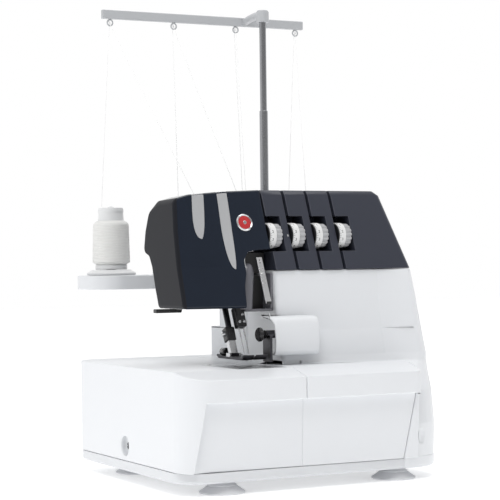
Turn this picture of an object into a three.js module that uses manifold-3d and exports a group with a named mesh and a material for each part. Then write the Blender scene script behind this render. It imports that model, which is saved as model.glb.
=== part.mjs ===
// Four-thread serger overlock machine, in millimetres, +Z up.
// Shapes are drawn in the machine's own drawing frame: X to the right, -Y to the front, Z = 0 on the table.
// The whole machine then moves so that its origin is the centre of the underside of its bounding box.
import * as THREE from "three";
import { mergeVertices } from "three/addons/utils/BufferGeometryUtils.js";
import Module from "manifold-3d";

const wasm = await Module();
wasm.setup();

// ---------- driving dimensions ----------
const LEFT = -152;
const RIGHT = 151;
const FRONT = -129;
const REAR = 153;
const BED_LOW = 11.5;
const PAN_TOP = 22;
const BED_TOP = 117;
const BAND_LOW = 88;
const COLUMN_LEFT = -13;
const COLUMN_REAR = 88.5;
const COLUMN_TOP = 211;
const HOUSING_TOP = 293;
const WALL = 3;
const GAP = 0.3;
const COVER_SEAM = -24.3;
const HALF_SEAM_Y = 20;
const ORIGIN_X = -8;
const ORIGIN_Y = -29;

const NEEDLE = { x: -52, y: -50, z: 141 };
const PRESSER = { x: -61, y: -35.5, z: 153 };
const LEAN = THREE.MathUtils.degToRad(24);

const SHAFT = { y: 40, z: 75 };
const MOTOR = { y: 112, z: 62 };
const BELT_X = 132;
const MOTOR_RADIUS = 24;
const PULLEYS = { shaft: 26, motor: 9, width: 10 };
const LEVER = { y: 14, z: 186 };
const LOWER_LOOPER = { x: -64, z: 50, y: -57.5 };
const UPPER_LOOPER = { x: -8, z: 56, y: -53.5 };
const HANDWHEEL = { radius: 34, x: 152.6 };

const GROOVES = [-14.5, 12, 39, 66.5];
const DIAL = { radius: 14.6, y: -25.5, z: 246, offset: 7.4, width: 16 };

const TRAY = { left: -145, right: 150, front: 115, rear: 187, low: 192, top: 207 };
const CONES_X = [-110.6, -33, 43, 119];
const CONE_Y = 150;
const MAST = { x: 54.5, y: 106, low: 186, step: 386, top: 497 };
const EYELETS_X = [-108.9, -33.2, 43.1, 119.2];
const EYELET_Z = 477.5;
const FEET = [[-100, -95], [95, -90], [-108, 92], [108, 96]];

// ---------- finishes ----------
const finish = (color, roughness, metalness) => ({ color, roughness, metalness });
const WHITE = finish(0xe6e7e9, 0.4, 0);
const CHARCOAL = finish(0x3c3e48, 0.45, 0);
const NAVY = finish(0x1d2733, 0.15, 0);
const GREY = finish(0x6a6b70, 0.35, 0);
const BLACK = finish(0x191a1c, 0.4, 0);
const RUBBER = finish(0xb9bcc0, 0.6, 0);
const STEEL = finish(0xb8bbbe, 0.25, 1);
const CAST = finish(0x8f9296, 0.5, 1);
const DIALS = finish(0xd4d5d6, 0.4, 0);
const THREAD = finish(0xf4f4f2, 0.9, 0);
const LENS = finish(0xf4f6fa, 0.1, 0);

// ---------- solids ----------
function solid(geometry) {
  const bare = geometry.index ? geometry.toNonIndexed() : geometry.clone();
  bare.deleteAttribute("normal");
  bare.deleteAttribute("uv");
  const merged = mergeVertices(bare, 1e-4);
  return new wasm.Manifold(new wasm.Mesh({
    numProp: 3,
    vertProperties: new Float32Array(merged.attributes.position.array),
    triVerts: new Uint32Array(merged.index.array),
  }));
}

function geometryOf(shape) {
  const mesh = shape.getMesh();
  const geometry = new THREE.BufferGeometry();
  geometry.setAttribute("position", new THREE.BufferAttribute(mesh.vertProperties, 3));
  geometry.setIndex(new THREE.BufferAttribute(mesh.triVerts, 1));
  const faceted = geometry.toNonIndexed();
  faceted.computeVertexNormals();
  return faceted;
}

const union = (...shapes) => shapes.reduce((whole, shape) => whole.add(shape));
const cut = (whole, ...tools) => tools.reduce((left, tool) => left.subtract(tool), whole);

function block(x0, x1, y0, y1, z0, z1) {
  const geometry = new THREE.BoxGeometry(x1 - x0, y1 - y0, z1 - z0);
  geometry.translate((x0 + x1) / 2, (y0 + y1) / 2, (z0 + z1) / 2);
  return solid(geometry);
}

// A round bar about X, Y or Z, centred on a point.
function bar(axis, radius, length, x, y, z, sides = 20) {
  const geometry = new THREE.CylinderGeometry(radius, radius, length, sides);
  if (axis === "x") geometry.rotateZ(Math.PI / 2);
  if (axis === "z") geometry.rotateX(Math.PI / 2);
  geometry.translate(x, y, z);
  return solid(geometry);
}

// A turned piece about a vertical axis; the profile is [radius, height] from the bottom up.
function turned(profile, x, y, z, sides = 28) {
  const points = profile.map(([radius, height]) => new THREE.Vector2(radius, height));
  const geometry = new THREE.LatheGeometry(points, sides);
  geometry.rotateX(Math.PI / 2);
  geometry.translate(x, y, z);
  return solid(geometry);
}

// A prism of an outline given in two coordinates, swept along the third from a to b.
function prism(along, outlinePoints, a, b) {
  const shape = new THREE.Shape(outlinePoints.map(([u, v]) => new THREE.Vector2(u, v)));
  const geometry = new THREE.ExtrudeGeometry(shape, { depth: b - a, bevelEnabled: false });
  geometry.translate(0, 0, a);
  const turns = {
    x: new THREE.Matrix4().set(0, 0, 1, 0, 1, 0, 0, 0, 0, 1, 0, 0, 0, 0, 0, 1),
    y: new THREE.Matrix4().set(1, 0, 0, 0, 0, 0, -1, 0, 0, 1, 0, 0, 0, 0, 0, 1),
    z: new THREE.Matrix4(),
  };
  if (along === "y") {
    geometry.translate(0, 0, -a - b);
  }
  geometry.applyMatrix4(turns[along]);
  return solid(geometry);
}

// Plan outline from corners [x, y, radius], counter-clockwise seen from above.
function outline(corners, steps = 7) {
  const points = [];
  corners.forEach(([x, y, radius], i) => {
    const before = corners[(i + corners.length - 1) % corners.length];
    const after = corners[(i + 1) % corners.length];
    const here = new THREE.Vector2(x, y);
    const back = new THREE.Vector2(before[0] - x, before[1] - y).normalize();
    const ahead = new THREE.Vector2(after[0] - x, after[1] - y).normalize();
    const half = Math.acos(THREE.MathUtils.clamp(back.dot(ahead), -1, 1)) / 2;
    const reach = radius / Math.tan(half);
    const start = here.clone().addScaledVector(back, reach);
    const end = here.clone().addScaledVector(ahead, reach);
    const curve = new THREE.QuadraticBezierCurve(start, here, end);
    const weight = Math.sin(half);
    for (let k = 0; k <= steps; k += 1) {
      const t = k / steps;
      const sides = (1 - t) * (1 - t) + t * t;
      const middle = 2 * t * (1 - t) * weight;
      const point = start.clone().multiplyScalar((1 - t) * (1 - t));
      point.addScaledVector(curve.v1, middle).addScaledVector(end, t * t);
      points.push(point.divideScalar(sides + middle));
    }
  });
  return points;
}

// The same corners moved inwards by a wall thickness.
function inset(corners, wall) {
  return corners.map(([x, y, radius], i) => {
    const before = corners[(i + corners.length - 1) % corners.length];
    const after = corners[(i + 1) % corners.length];
    const u = new THREE.Vector2(x - before[0], y - before[1]).normalize();
    const v = new THREE.Vector2(after[0] - x, after[1] - y).normalize();
    const turn = u.x * v.y - u.y * v.x;
    const slide = (wall * (1 - u.dot(v))) / turn;
    return [x - u.y * wall - u.x * slide, y + u.x * wall - u.y * slide, Math.max(radius - wall, 0.5)];
  });
}

// A solid through plan outlines at rising heights; all outlines have the same number of points.
function loft(layers) {
  const count = layers[0].points.length;
  const positions = [];
  const triangle = (...corners) => corners.forEach(([x, y, z]) => positions.push(x, y, z));
  const corner = (layer, i) => [layer.points[i % count].x, layer.points[i % count].y, layer.z];
  for (let k = 0; k + 1 < layers.length; k += 1) {
    for (let i = 0; i < count; i += 1) {
      triangle(corner(layers[k], i), corner(layers[k], i + 1), corner(layers[k + 1], i + 1));
      triangle(corner(layers[k], i), corner(layers[k + 1], i + 1), corner(layers[k + 1], i));
    }
  }
  const caps = [[layers[0], true], [layers[layers.length - 1], false]];
  caps.forEach(([layer, down]) => {
    THREE.ShapeUtils.triangulateShape(layer.points, []).forEach(([a, b, c]) => {
      if (down) triangle(corner(layer, a), corner(layer, c), corner(layer, b));
      else triangle(corner(layer, a), corner(layer, b), corner(layer, c));
    });
  });
  const geometry = new THREE.BufferGeometry();
  geometry.setAttribute("position", new THREE.Float32BufferAttribute(positions, 3));
  return solid(geometry);
}

const stack = (sections, wall = 0, steps = 7) => loft(sections.map(({ z, corners }) => (
  { z, points: outline(wall ? inset(corners, wall) : corners, steps) })));

// A smooth curve whose steps follow its own points, so that it is fine where they are close together.
class Strand extends THREE.CatmullRomCurve3 {
  getPointAt(t, target) {
    return this.getPoint(t, target);
  }

  getTangentAt(t, target) {
    return this.getTangent(t, target);
  }

  getSpacedPoints(steps) {
    return this.getPoints(steps);
  }
}

// A round tube of few sides along a strand through points.
function tube(points, radius, steps, sides) {
  const path = new Strand(points.map((p) => new THREE.Vector3(...p)), false, "centripetal");
  const ring = new THREE.Shape();
  for (let i = 0; i < sides; i += 1) {
    const angle = (2 * Math.PI * i) / sides;
    const place = [radius * Math.cos(angle), radius * Math.sin(angle)];
    if (i === 0) ring.moveTo(...place);
    else ring.lineTo(...place);
  }
  ring.closePath();
  return new THREE.ExtrudeGeometry(ring, { steps, bevelEnabled: false, extrudePath: path });
}

// A shape drawn upright about the origin, leant like the needle bar and set on a point of its axis.
function leant(shape, base, along) {
  const geometry = geometryOf(shape);
  geometry.rotateX(-LEAN);
  geometry.translate(base.x, base.y + along * Math.sin(LEAN), base.z + along * Math.cos(LEAN));
  return solid(geometry);
}

// ---------- the scene graph ----------
const machine = new THREE.Group();
machine.position.set(ORIGIN_X, ORIGIN_Y, 0);

function add(name, shape, look, place = [0, 0, 0]) {
  const geometry = shape.isBufferGeometry ? shape : geometryOf(shape);
  const mesh = new THREE.Mesh(geometry, new THREE.MeshStandardMaterial(look));
  mesh.name = name;
  mesh.position.set(...place);
  machine.add(mesh);
}

// ---------- casings ----------
// Plan of the bed, and of the column with the right end, which leans forward as it comes down.
const BED = [
  [LEFT, FRONT, 30], [106, FRONT, 8], [125, -62, 3], [RIGHT, -40, 3], [RIGHT, REAR, 22], [LEFT, REAR, 20],
];

function towerSection(z, frontLeft, kneeX, kneeY, right, frontRight, radius, rear) {
  return {
    z,
    corners: [
      [COLUMN_LEFT, frontLeft, 5], [kneeX, kneeY, 6], [right, frontRight, radius],
      [right, rear, 12], [COLUMN_LEFT, rear, 5],
    ],
  };
}

const TOWER = [
  towerSection(PAN_TOP + GAP, -62, 93, -114.5, 150, -115, 48, 109),
  towerSection(56, -62, 100, -114.5, RIGHT, -115, 48, 109),
  towerSection(89, -61, 107, -104, RIGHT, -108, 40, 109),
  towerSection(105, -60, 112, -88, RIGHT, -95, 28, 109),
  towerSection(BED_TOP, -60, 110, -67, RIGHT, -83, 14, 109),
  towerSection(125, -57, 105, -61, 151.3, -77, 10, 109),
  towerSection(151, -48, 105, -54, 151, -67, 9, 109),
];
const TOWER_UPPER = [
  towerSection(150, -48.3, 105, -54.3, 151, -67.3, 9, COLUMN_REAR),
  towerSection(186, -44.5, 105, -47.5, 149, -56, 7, COLUMN_REAR),
  towerSection(COLUMN_TOP, -43.5, 105, -45, 146, -49.5, 5, COLUMN_REAR),
];

const raised = (sections, z) => sections.map((section) => ({ ...section, z: section.z + z }));

function bodyShell() {
  const bed = stack([{ z: PAN_TOP + GAP, corners: BED }, { z: BED_TOP, corners: BED }]);
  const bedInside = stack([{ z: PAN_TOP - 1, corners: BED }, { z: BED_TOP - WALL, corners: BED }], WALL);
  const frontSlope = prism("x", [[-140, 109], [-140, 125], [-100, 125], [-100, BED_TOP], [FRONT, 109.5]], -160, 140);
  const slopeInside = prism("x", [
    [-140, 106], [-140, 125], [-99, 125], [-99, BED_TOP - WALL - 0.5], [FRONT, 106],
  ], -160, 140);
  const recessDepth = prism("x", [[-140, 20], [-116, 20], [-119, BAND_LOW], [-140, BAND_LOW]], -160, 140);
  const recessWidth = prism("y", [[-141.5, 20], [140, 20], [140, BAND_LOW], [-130, BAND_LOW]], -141, -100);
  const recessBack = block(-160, 140, -141, -113, 15, BAND_LOW + WALL);
  const tower = union(stack(TOWER), stack(TOWER_UPPER));
  const towerInside = union(stack(raised(TOWER, -1), WALL), stack(raised(TOWER_UPPER, -WALL), WALL),
    block(0, 130, -30, 80, 180, 214));
  const outside = cut(union(bed, tower), frontSlope, recessDepth.intersect(recessWidth));
  const inside = union(cut(bedInside, slopeInside, recessBack), towerInside);
  return cut(outside, inside);
}

// The space taken by the looper cover: its plan above the recess and its slanted right edge below.
function looperRegion(grow) {
  const plan = [
    [COVER_SEAM - 6, -141], [108 + grow, -141], [108 + grow, -71.5 + grow], [-13, -62.5 + grow],
    [COVER_SEAM - 6, -62.5 + grow],
  ];
  const upper = prism("z", plan, BAND_LOW - grow, 120);
  const lower = prism("y", [
    [COVER_SEAM - 6, 20], [91 + grow, 20], [105 + grow, BAND_LOW], [COVER_SEAM - 6, BAND_LOW],
  ], -141, -100);
  return union(upper, lower);
}

const shell = bodyShell();
const rightOfSeam = block(COVER_SEAM, 200, -200, 200, 0, 300);
const looperSpace = looperRegion(GAP + 0.2);
const loopBay = prism("y", [[-40, 15], [88, 15], [101, 86], [106, 113.5], [-40, 113.5]], -141, 10);
const shaftHole = bar("x", 9, 40, RIGHT, SHAFT.y, SHAFT.z);
const switchHole = block(140, 160, 92, 108, 34, 56);
const inletHole = block(140, 160, 114, 136, 34, 50);
const dialHole = bar("x", 4.5, 40, RIGHT, -18, 62);
const rightHoles = union(shaftHole, switchHole, inletHole, dialHole);
const plateHole = block(-82, COVER_SEAM - 4, -98, -14, 100, 130);
const stemHole = block(-30, COVER_SEAM + 30, -61.8, -20, 113, 120);

function leftCover() {
  const part = shell.intersect(block(-200, COVER_SEAM - GAP, -200, 200, 0, BED_TOP + 1));
  const screwRecess = bar("x", 10, 12, LEFT, 20, 37);
  const recessLining = bar("x", 12.5, 9, LEFT + 4.6, 20, 37);
  const screwBore = bar("x", 2.5, 30, LEFT + 12, 20, 37, 12);
  return cut(union(part, recessLining), screwRecess, screwBore, plateHole);
}

function looperCover() {
  const part = shell.intersect(looperRegion(0)).intersect(rightOfSeam);
  const behindFront = block(COVER_SEAM - 5, 130, -112.9, -40, 20, 106);
  const belowTop = block(COVER_SEAM - 5, 130, -98, -40, 20, BED_TOP - WALL);
  return cut(part, behindFront, belowTop);
}

const housing = cut(shell.intersect(rightOfSeam), looperSpace, loopBay, rightHoles, stemHole);
add("left_cover", leftCover(), WHITE);
add("looper_cover", looperCover(), WHITE);
add("front_housing", housing.intersect(block(-60, 200, -200, HALF_SEAM_Y - GAP / 2, 0, 260)), WHITE);
add("rear_housing", housing.intersect(block(-60, 200, HALF_SEAM_Y + GAP / 2, 200, 0, 260)), WHITE);

// Bottom pan, a little smaller than the bed at the front, with the feet under it.
const PAN = [[LEFT, -119, 30], [100, -113, 30], [149, -108, 44], [149, REAR - 2, 20], [LEFT, REAR - 2, 20]];

function basePan() {
  const outside = stack([
    { z: BED_LOW, corners: inset(PAN, 3) }, { z: BED_LOW + 2.5, corners: PAN }, { z: PAN_TOP, corners: PAN },
  ]);
  const inside = stack([{ z: BED_LOW + WALL, corners: PAN }, { z: PAN_TOP + 1, corners: PAN }], WALL);
  return cut(outside, inside);
}

add("base_pan", basePan(), WHITE);

// ---------- dark housing over the column ----------
const housingSection = (z, front, frontRight, right, rear) => ({
  z,
  corners: [
    [COLUMN_LEFT, front, 1], [right, frontRight, 5], [right, rear, 12], [COLUMN_LEFT, rear, 5],
  ],
});
const HOUSING = [
  housingSection(COLUMN_TOP + GAP, -47, -48.5, 146, COLUMN_REAR),
  housingSection(288, -16, -16.5, 128, 74),
  housingSection(HOUSING_TOP, -11.5, -11.5, 123, 70),
];

// Where the sloping front of the housing lies at a height.
const slopeY = (z) => -14 - ((HOUSING_TOP - z) * (47 - 14)) / (HOUSING_TOP - COLUMN_TOP);

function tensionHousing() {
  const outside = stack(HOUSING);
  const inside = stack(raised(HOUSING, -WALL), WALL);
  const slot = (x0, x1, depth, low, high) => prism("x", [
    [slopeY(low) - 20, low], [slopeY(low) + depth, low],
    [slopeY(high) + depth, high], [slopeY(high) - 20, high],
  ], x0, x1);
  const backing = (x0, x1, depth, low, high) => slot(x0, x1, depth, low, high).intersect(outside);
  let part = cut(outside, inside);
  GROOVES.slice(1).forEach((x) => {
    part = union(part, backing(x - 4, x + 4, 9, COLUMN_TOP + GAP, HOUSING_TOP));
  });
  GROOVES.forEach((x) => {
    part = union(part, backing(Math.max(x - 4, COLUMN_LEFT - 1), x + 21, 27, 226, 270));
  });
  GROOVES.forEach((x) => {
    part = cut(part, slot(x - 1.6, x + 17.2, 24, 230, 266));
    part = cut(part, slot(x - 1.6, x + 1.6, 6, 200, 300));
  });
  const armGate = block(-20, -5, -8, 34, 205, 228);
  const grooveMouth = block(-20, -12.9, -60, -8, 205, 300);
  return cut(part, armGate, grooveMouth);
}

add("tension_housing", tensionHousing(), CHARCOAL);

// ---------- dark glossy face cover ----------
// Rounded outline in side view, narrowing a little to the left and crowned along the top.
const HEAD_LEFT = -117;
const HEAD_RIGHT = -16.5;
const HEAD_LOW = 174;
const HEAD_STATIONS = [
  { x: HEAD_LEFT, top: 279, front: [-27, -28.5, -35, -48], shrink: 3 },
  { x: HEAD_LEFT + 4, top: 284, front: [-28.5, -31, -38, -51.5], shrink: 0 },
  { x: -100, top: 287.5, front: [-28, -32.5, -40, -54], shrink: 0 },
  { x: -60, top: 291, front: [-24, -34, -45, -59], shrink: 0 },
  { x: HEAD_RIGHT, top: 293, front: [-17.5, -33.5, -50, -64], shrink: 0 },
];

function headOutline({ top, front, shrink }, wall = 0) {
  const s = shrink + wall;
  const high = top - wall;
  const corners = [
    [front[3] + s, HEAD_LOW + s, 1.5], [14 - s, HEAD_LOW + s, 2], [21.5 - s, 194, 8], [29 - s, 216, 8],
    [36 - s, 227, 8], [49.5 - s, 231.5, 6], [45 - s, 252, 12], [36 - s, high - 11, 12], [17 - s, high - 1.5, 10],
    [front[0] + s, high, 3], [front[1] + s, 251, 8], [front[2] + s, 215, 8],
  ];
  return outline(corners, 3);
}

// The stations run along X, so the loft is made upright and then laid over.
function sidewaysLoft(stations, wall) {
  const layers = stations.map((station) => ({ z: station.x, points: headOutline(station, wall) }));
  const mesh = loft(layers).getMesh();
  const upright = new THREE.BufferGeometry();
  upright.setAttribute("position", new THREE.BufferAttribute(mesh.vertProperties, 3));
  upright.setIndex(new THREE.BufferAttribute(mesh.triVerts, 1));
  upright.applyMatrix4(new THREE.Matrix4().set(0, 0, 1, 0, 1, 0, 0, 0, 0, 1, 0, 0, 0, 0, 0, 1));
  return solid(upright);
}

function faceCover() {
  const outside = sidewaysLoft(HEAD_STATIONS, 0);
  const inside = sidewaysLoft([{ ...HEAD_STATIONS[0], x: HEAD_LEFT + WALL }, ...HEAD_STATIONS.slice(1, 4),
    { ...HEAD_STATIONS[4], x: HEAD_RIGHT + 1 }], WALL);
  const recessFront = prism("y", [
    [-45, 160], [-45.6, 196], [-41, 208], [-39, 222], [-34, 231], [-10, 233.5], [-10, 160],
  ], -80, -8);
  const underside = block(-84.4, -10, -46, 10, 160, 182);
  const leverSlot = block(-91, -79.5, -10, 40, 160, 200);
  return cut(outside, inside, recessFront, underside, leverSlot);
}

add("face_cover", faceCover(), NAVY);

// ---------- threading recess and knife guard ----------
function threadPanel() {
  const back = block(-44, -13.6, -22, -19, 172, 229);
  const leftWall = block(-45, -43, -44, -19, 172, 197);
  const floor = block(-46, -13.6, -40, -19, 170, 173);
  return union(back, leftWall, floor);
}

function threadGuidePlate() {
  const plate = leant(block(-33, -27, -0.8, 0.8, -27, 23), { x: 0, y: -51, z: 203 }, 0);
  const post = block(-31, -29, -50, -22.4, 206, 208.5);
  const holes = [17, 20].map((t) => leant(bar("y", 0.8, 10, -30, 0, 0, 10), { x: 0, y: -51, z: 203 }, t));
  return cut(union(plate, post), ...holes);
}

const GUARD = { x0: -31, x1: 22, y: -57, z: 146, radius: 19.5 };
const grownTower = union(stack(TOWER, -0.5), stack(TOWER_UPPER, -0.5));

function knifeGuard() {
  const long = GUARD.x1 - GUARD.x0;
  const middle = (GUARD.x0 + GUARD.x1) / 2;
  const body = union(bar("x", GUARD.radius, long, middle, GUARD.y, GUARD.z, 32),
    block(GUARD.x0, GUARD.x1, GUARD.y, -47, GUARD.z - GUARD.radius, GUARD.z + GUARD.radius));
  const inner = GUARD.radius - 2.5;
  const hollow = union(bar("x", inner, long, middle - 2.5, GUARD.y, GUARD.z, 32),
    block(GUARD.x0 - 1, GUARD.x1 - 2.5, GUARD.y, -40, GUARD.z - inner, GUARD.z + inner));
  return cut(body, hollow, grownTower, block(GUARD.x0 - 1, GUARD.x1 + 1, -47.01, -20, 100, 200));
}

add("thread_panel", threadPanel(), GREY);
add("thread_guide_plate", threadGuidePlate(), STEEL);
add("knife_guard", knifeGuard(), WHITE);

// ---------- frame, motor and drive ----------
function frame() {
  const bed = block(-20, 118, -25, 104, 24, 32);
  const posts = [[-12, -17], [110, -17], [-12, 96], [110, 96]].map(([x, y]) => bar("z", 5, 11, x, y, 20.4, 8));
  const uprights = [block(8, 18, 0, 70, 30, 222), block(96, 104, 10, 70, 30, 222)];
  const arm = block(-92, 104, -3, 22, 214, 224);
  const bosses = union(bar("x", 11, 16, 13, SHAFT.y, SHAFT.z), bar("x", 11, 14, 100, SHAFT.y, SHAFT.z));
  const barHead = block(-69, -47, -27, 5, 206, 230);
  const looperBracket = block(-78, 12, 4, 14, 40, 68);
  const saddle = block(50, 112, 80, 104, 30, 38.6);
  const leverEar = block(-84, -80, 8, 20, 180, 216);
  const solids = union(bed, ...posts, ...uprights, arm, bosses, barHead, looperBracket, saddle, leverEar);
  const needleBore = leant(bar("z", 3.9, 120, NEEDLE.x, 0, 0, 16), { x: 0, y: NEEDLE.y, z: NEEDLE.z }, 80);
  const presserBore = leant(bar("z", 3.4, 120, PRESSER.x, 0, 0, 16), { x: 0, y: PRESSER.y, z: PRESSER.z }, 60);
  const shaftBore = bar("x", 5.4, 140, 60, SHAFT.y, SHAFT.z);
  const looperBores = [LOWER_LOOPER, UPPER_LOOPER].map(({ x, z }) => bar("y", 4.4, 40, x, 9, z));
  const motorRoom = bar("x", MOTOR_RADIUS + 0.4, 90, 79, MOTOR.y, MOTOR.z, 28);
  return cut(solids, needleBore, presserBore, shaftBore, ...looperBores, motorRoom);
}

function motor() {
  const can = bar("x", MOTOR_RADIUS, 70, 79, MOTOR.y, MOTOR.z, 28);
  const nose = bar("x", 9, 6, 117, MOTOR.y, MOTOR.z);
  return cut(union(can, nose), bar("x", 3.4, 30, 110, MOTOR.y, MOTOR.z));
}

function pulley(radius, { y, z }) {
  const half = PULLEYS.width / 2;
  const rims = [-half, half].map((side) => bar("x", radius + 3, 1.6, BELT_X + side, y, z, 20));
  return union(bar("x", radius, PULLEYS.width, BELT_X, y, z, 20), ...rims);
}

// Closed line around two circles, as the belt runs.
function aroundPulleys(extra) {
  const big = new THREE.Vector2(SHAFT.y, SHAFT.z);
  const small = new THREE.Vector2(MOTOR.y, MOTOR.z);
  const apart = small.clone().sub(big);
  const heading = apart.angle();
  const spread = Math.acos((PULLEYS.shaft - PULLEYS.motor) / apart.length());
  const points = [];
  const arc = (centre, radius, from, to) => {
    for (let k = 0; k <= 10; k += 1) {
      const angle = from + ((to - from) * k) / 10;
      points.push([centre.x + radius * Math.cos(angle), centre.y + radius * Math.sin(angle)]);
    }
  };
  arc(big, PULLEYS.shaft + extra, heading + spread, heading + 2 * Math.PI - spread);
  arc(small, PULLEYS.motor + extra, heading - spread, heading + spread);
  return points;
}

function driveBelt() {
  const half = PULLEYS.width / 2 - 1.4;
  const outside = prism("x", aroundPulleys(2.4), BELT_X - half, BELT_X + half);
  return cut(outside, prism("x", aroundPulleys(0.5), BELT_X - half - 1, BELT_X + half + 1));
}

function handwheel() {
  const profile = [
    [5.4, 0], [16, 0], [HANDWHEEL.radius - 3, 1], [HANDWHEEL.radius, 4], [HANDWHEEL.radius, 12],
    [HANDWHEEL.radius - 3, 15.4], [HANDWHEEL.radius - 8, 15.4], [HANDWHEEL.radius - 10, 11], [12, 11], [10, 14],
    [5.4, 14], [5.4, 0],
  ];
  const geometry = new THREE.LatheGeometry(profile.map(([r, h]) => new THREE.Vector2(r, h)), 28);
  geometry.rotateZ(-Math.PI / 2);
  return geometry;
}

const shaftBore = bar("x", 5.4, 60, BELT_X, SHAFT.y, SHAFT.z);
const motorShaft = bar("x", 3, BELT_X + 7 - 100, (BELT_X + 7 + 100) / 2, MOTOR.y, MOTOR.z, 16);
add("frame", frame(), CAST);
add("motor", motor(), BLACK);
add("motor_pulley", union(pulley(PULLEYS.motor, MOTOR), motorShaft), STEEL);
add("drive_belt", driveBelt(), BLACK);
add("main_shaft", bar("x", 5, 162, 83.5, SHAFT.y, SHAFT.z), STEEL);
add("shaft_pulley", cut(pulley(PULLEYS.shaft, SHAFT), shaftBore), BLACK);
add("handwheel", handwheel(), CHARCOAL, [HANDWHEEL.x, SHAFT.y, SHAFT.z]);

// ---------- needles, presser and knives ----------
const onNeedle = (shape, t) => leant(shape, { x: 0, y: NEEDLE.y, z: NEEDLE.z }, t);
const onPresser = (shape, t) => leant(shape, { x: 0, y: PRESSER.y, z: PRESSER.z }, t);
add("needle_bar", onNeedle(bar("z", 3.5, 88, NEEDLE.x, 0, 0, 16), 80.5), STEEL);
add("needle_clamp", onNeedle(block(-57, -47, -4.5, 4.5, -10.5, 10.5), 25.5), BLACK);
add("needle_left", onNeedle(bar("z", 0.8, 28.6, -54.5, 0, 0, 8), 0.4), STEEL);
add("needle_right", onNeedle(bar("z", 0.8, 28.6, -49.5, 0, 0, 8), 0.4), STEEL);

function presserBar() {
  const rod = onPresser(bar("z", 3, 113, PRESSER.x, 0, 0, 16), 48.5);
  const collar = onPresser(bar("z", 6.4, 3.5, PRESSER.x, 0, 0, 16), 36);
  const shank = onPresser(block(-66, -58, -3, 3, -10, 10), -17);
  return union(rod, collar, shank);
}

function presserSpring() {
  const turns = 5;
  const points = [];
  for (let k = 0; k <= turns * 10; k += 1) {
    const angle = (2 * Math.PI * k) / 10;
    points.push([5.2 * Math.cos(angle), 5.2 * Math.sin(angle), (k / (turns * 10)) * 15.4]);
  }
  const geometry = tube(points, 0.8, turns * 10, 4);
  geometry.translate(PRESSER.x, 0, 0);
  return onPresser(solid(geometry), 39.2);
}

function presserFoot() {
  const sole = prism("x", [
    [-82, 127.6], [-77.5, 124], [-26, 124], [-21.5, 126.4],
    [-22, 128], [-28, 126.6], [-76, 126.6], [-80.6, 129.2],
  ], -68.6, -42);
  const ears = [block(-68.6, -66.6, -51, -43, 125, 130), block(-57.4, -55.6, -51, -43, 125, 130)];
  return cut(union(sole, ...ears), block(-56.6, -46, -63, -51.4, 120, 128));
}

function presserLever() {
  const hub = bar("x", 4, 4.4, -86.7, LEVER.y, LEVER.z, 16);
  const arm = prism("x", [
    [11, 184], [24, 172.6], [26, 168.6], [36, 168.6], [36, 172.6], [17, 188],
  ], -88.9, -84.5);
  const handle = block(-112, -84.5, 28, 36, 168.6, 172.6);
  return union(hub, arm, handle);
}

add("presser_bar", presserBar(), STEEL);
add("presser_spring", presserSpring(), STEEL);
add("presser_foot", presserFoot(), STEEL);
add("presser_lever", presserLever(), BLACK);

function needlePlate() {
  const plate = block(-81.5, -28.8, -97.5, -14.5, 114.2, BED_TOP);
  const needleSlot = block(-57.5, -46.5, -70, -55, 110, 120);
  const feedSlots = [block(-66, -60, -80, -42, 110, 120), block(-44.5, -38.5, -80, -42, 110, 120)];
  const knifeSlot = block(-36.6, -30.4, -84, -54, 110, 120);
  return cut(plate, needleSlot, ...feedSlots, knifeSlot);
}

function feedDog() {
  const rows = [-65, -43.5].map((x) => block(x, x + 4, -75, -47, 107.5, 116.6));
  const bridge = block(-65, -39.5, -50, -47, 103, 109);
  const stem = block(-56, -50, -48, -8, 103, 107);
  return union(...rows, bridge, stem);
}

// A looper swings in a plane across the machine, on a shaft that runs from front to back.
function looper({ x, z, y }, blade) {
  const shaft = bar("y", 4, 15 - y, x, (15 + y) / 2, z, 16);
  const hub = bar("y", 7, 5, x, y, z);
  const arm = prism("y", blade.map(([u, v]) => [x + u, z + v]), y - 1.4, y + 1.4);
  return union(shaft, hub, arm);
}

function upperKnife() {
  const blade = block(-36.2, -33.6, -76, -60, 121, 147);
  const shaft = bar("x", 4, 52, -10, -66, 148, 16);
  return union(blade, shaft);
}

function knifeKnob() {
  const grip = bar("x", 7, 6, -42, -66, 148, 20);
  const waist = bar("x", 4.4, 4, -38.6, -66, 148, 16);
  return union(grip, waist);
}

add("needle_plate", needlePlate(), STEEL);
add("feed_dog", feedDog(), STEEL);
add("lower_looper", looper(LOWER_LOOPER, [
  [-4, 4], [-13, 34], [-13, 50], [-2, 54.5], [8, 53], [-5, 48], [-5, 34], [4, 5],
]), STEEL);
add("upper_looper", looper(UPPER_LOOPER, [
  [-5, 3], [-20, 26], [-26, 38], [-35, 48], [-22, 40], [-12, 28], [4, 6],
]), STEEL);
add("upper_knife", upperKnife(), BLACK);
add("knife_knob", knifeKnob(), BLACK);
add("lower_knife", block(-33.2, -31, -78, -60, 92, 116.8), STEEL);
add("lamp_lens", block(-84, -72, -44, -32, 174.6, 177.4), LENS);

// ---------- tension dials ----------
function tensionDial() {
  const half = DIAL.width / 2;
  const ring = bar("x", DIAL.radius, half, -half / 2, 0, 0, 28);
  const wheel = bar("x", DIAL.radius - 0.8, half + 1, half / 2 - 0.5, 0, 0, 20);
  return geometryOf(union(ring, wheel));
}

GROOVES.forEach((x, i) => {
  add(`tension_dial_${i + 1}`, tensionDial(), DIALS, [x + DIAL.offset, DIAL.y, DIAL.z]);
});

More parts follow.
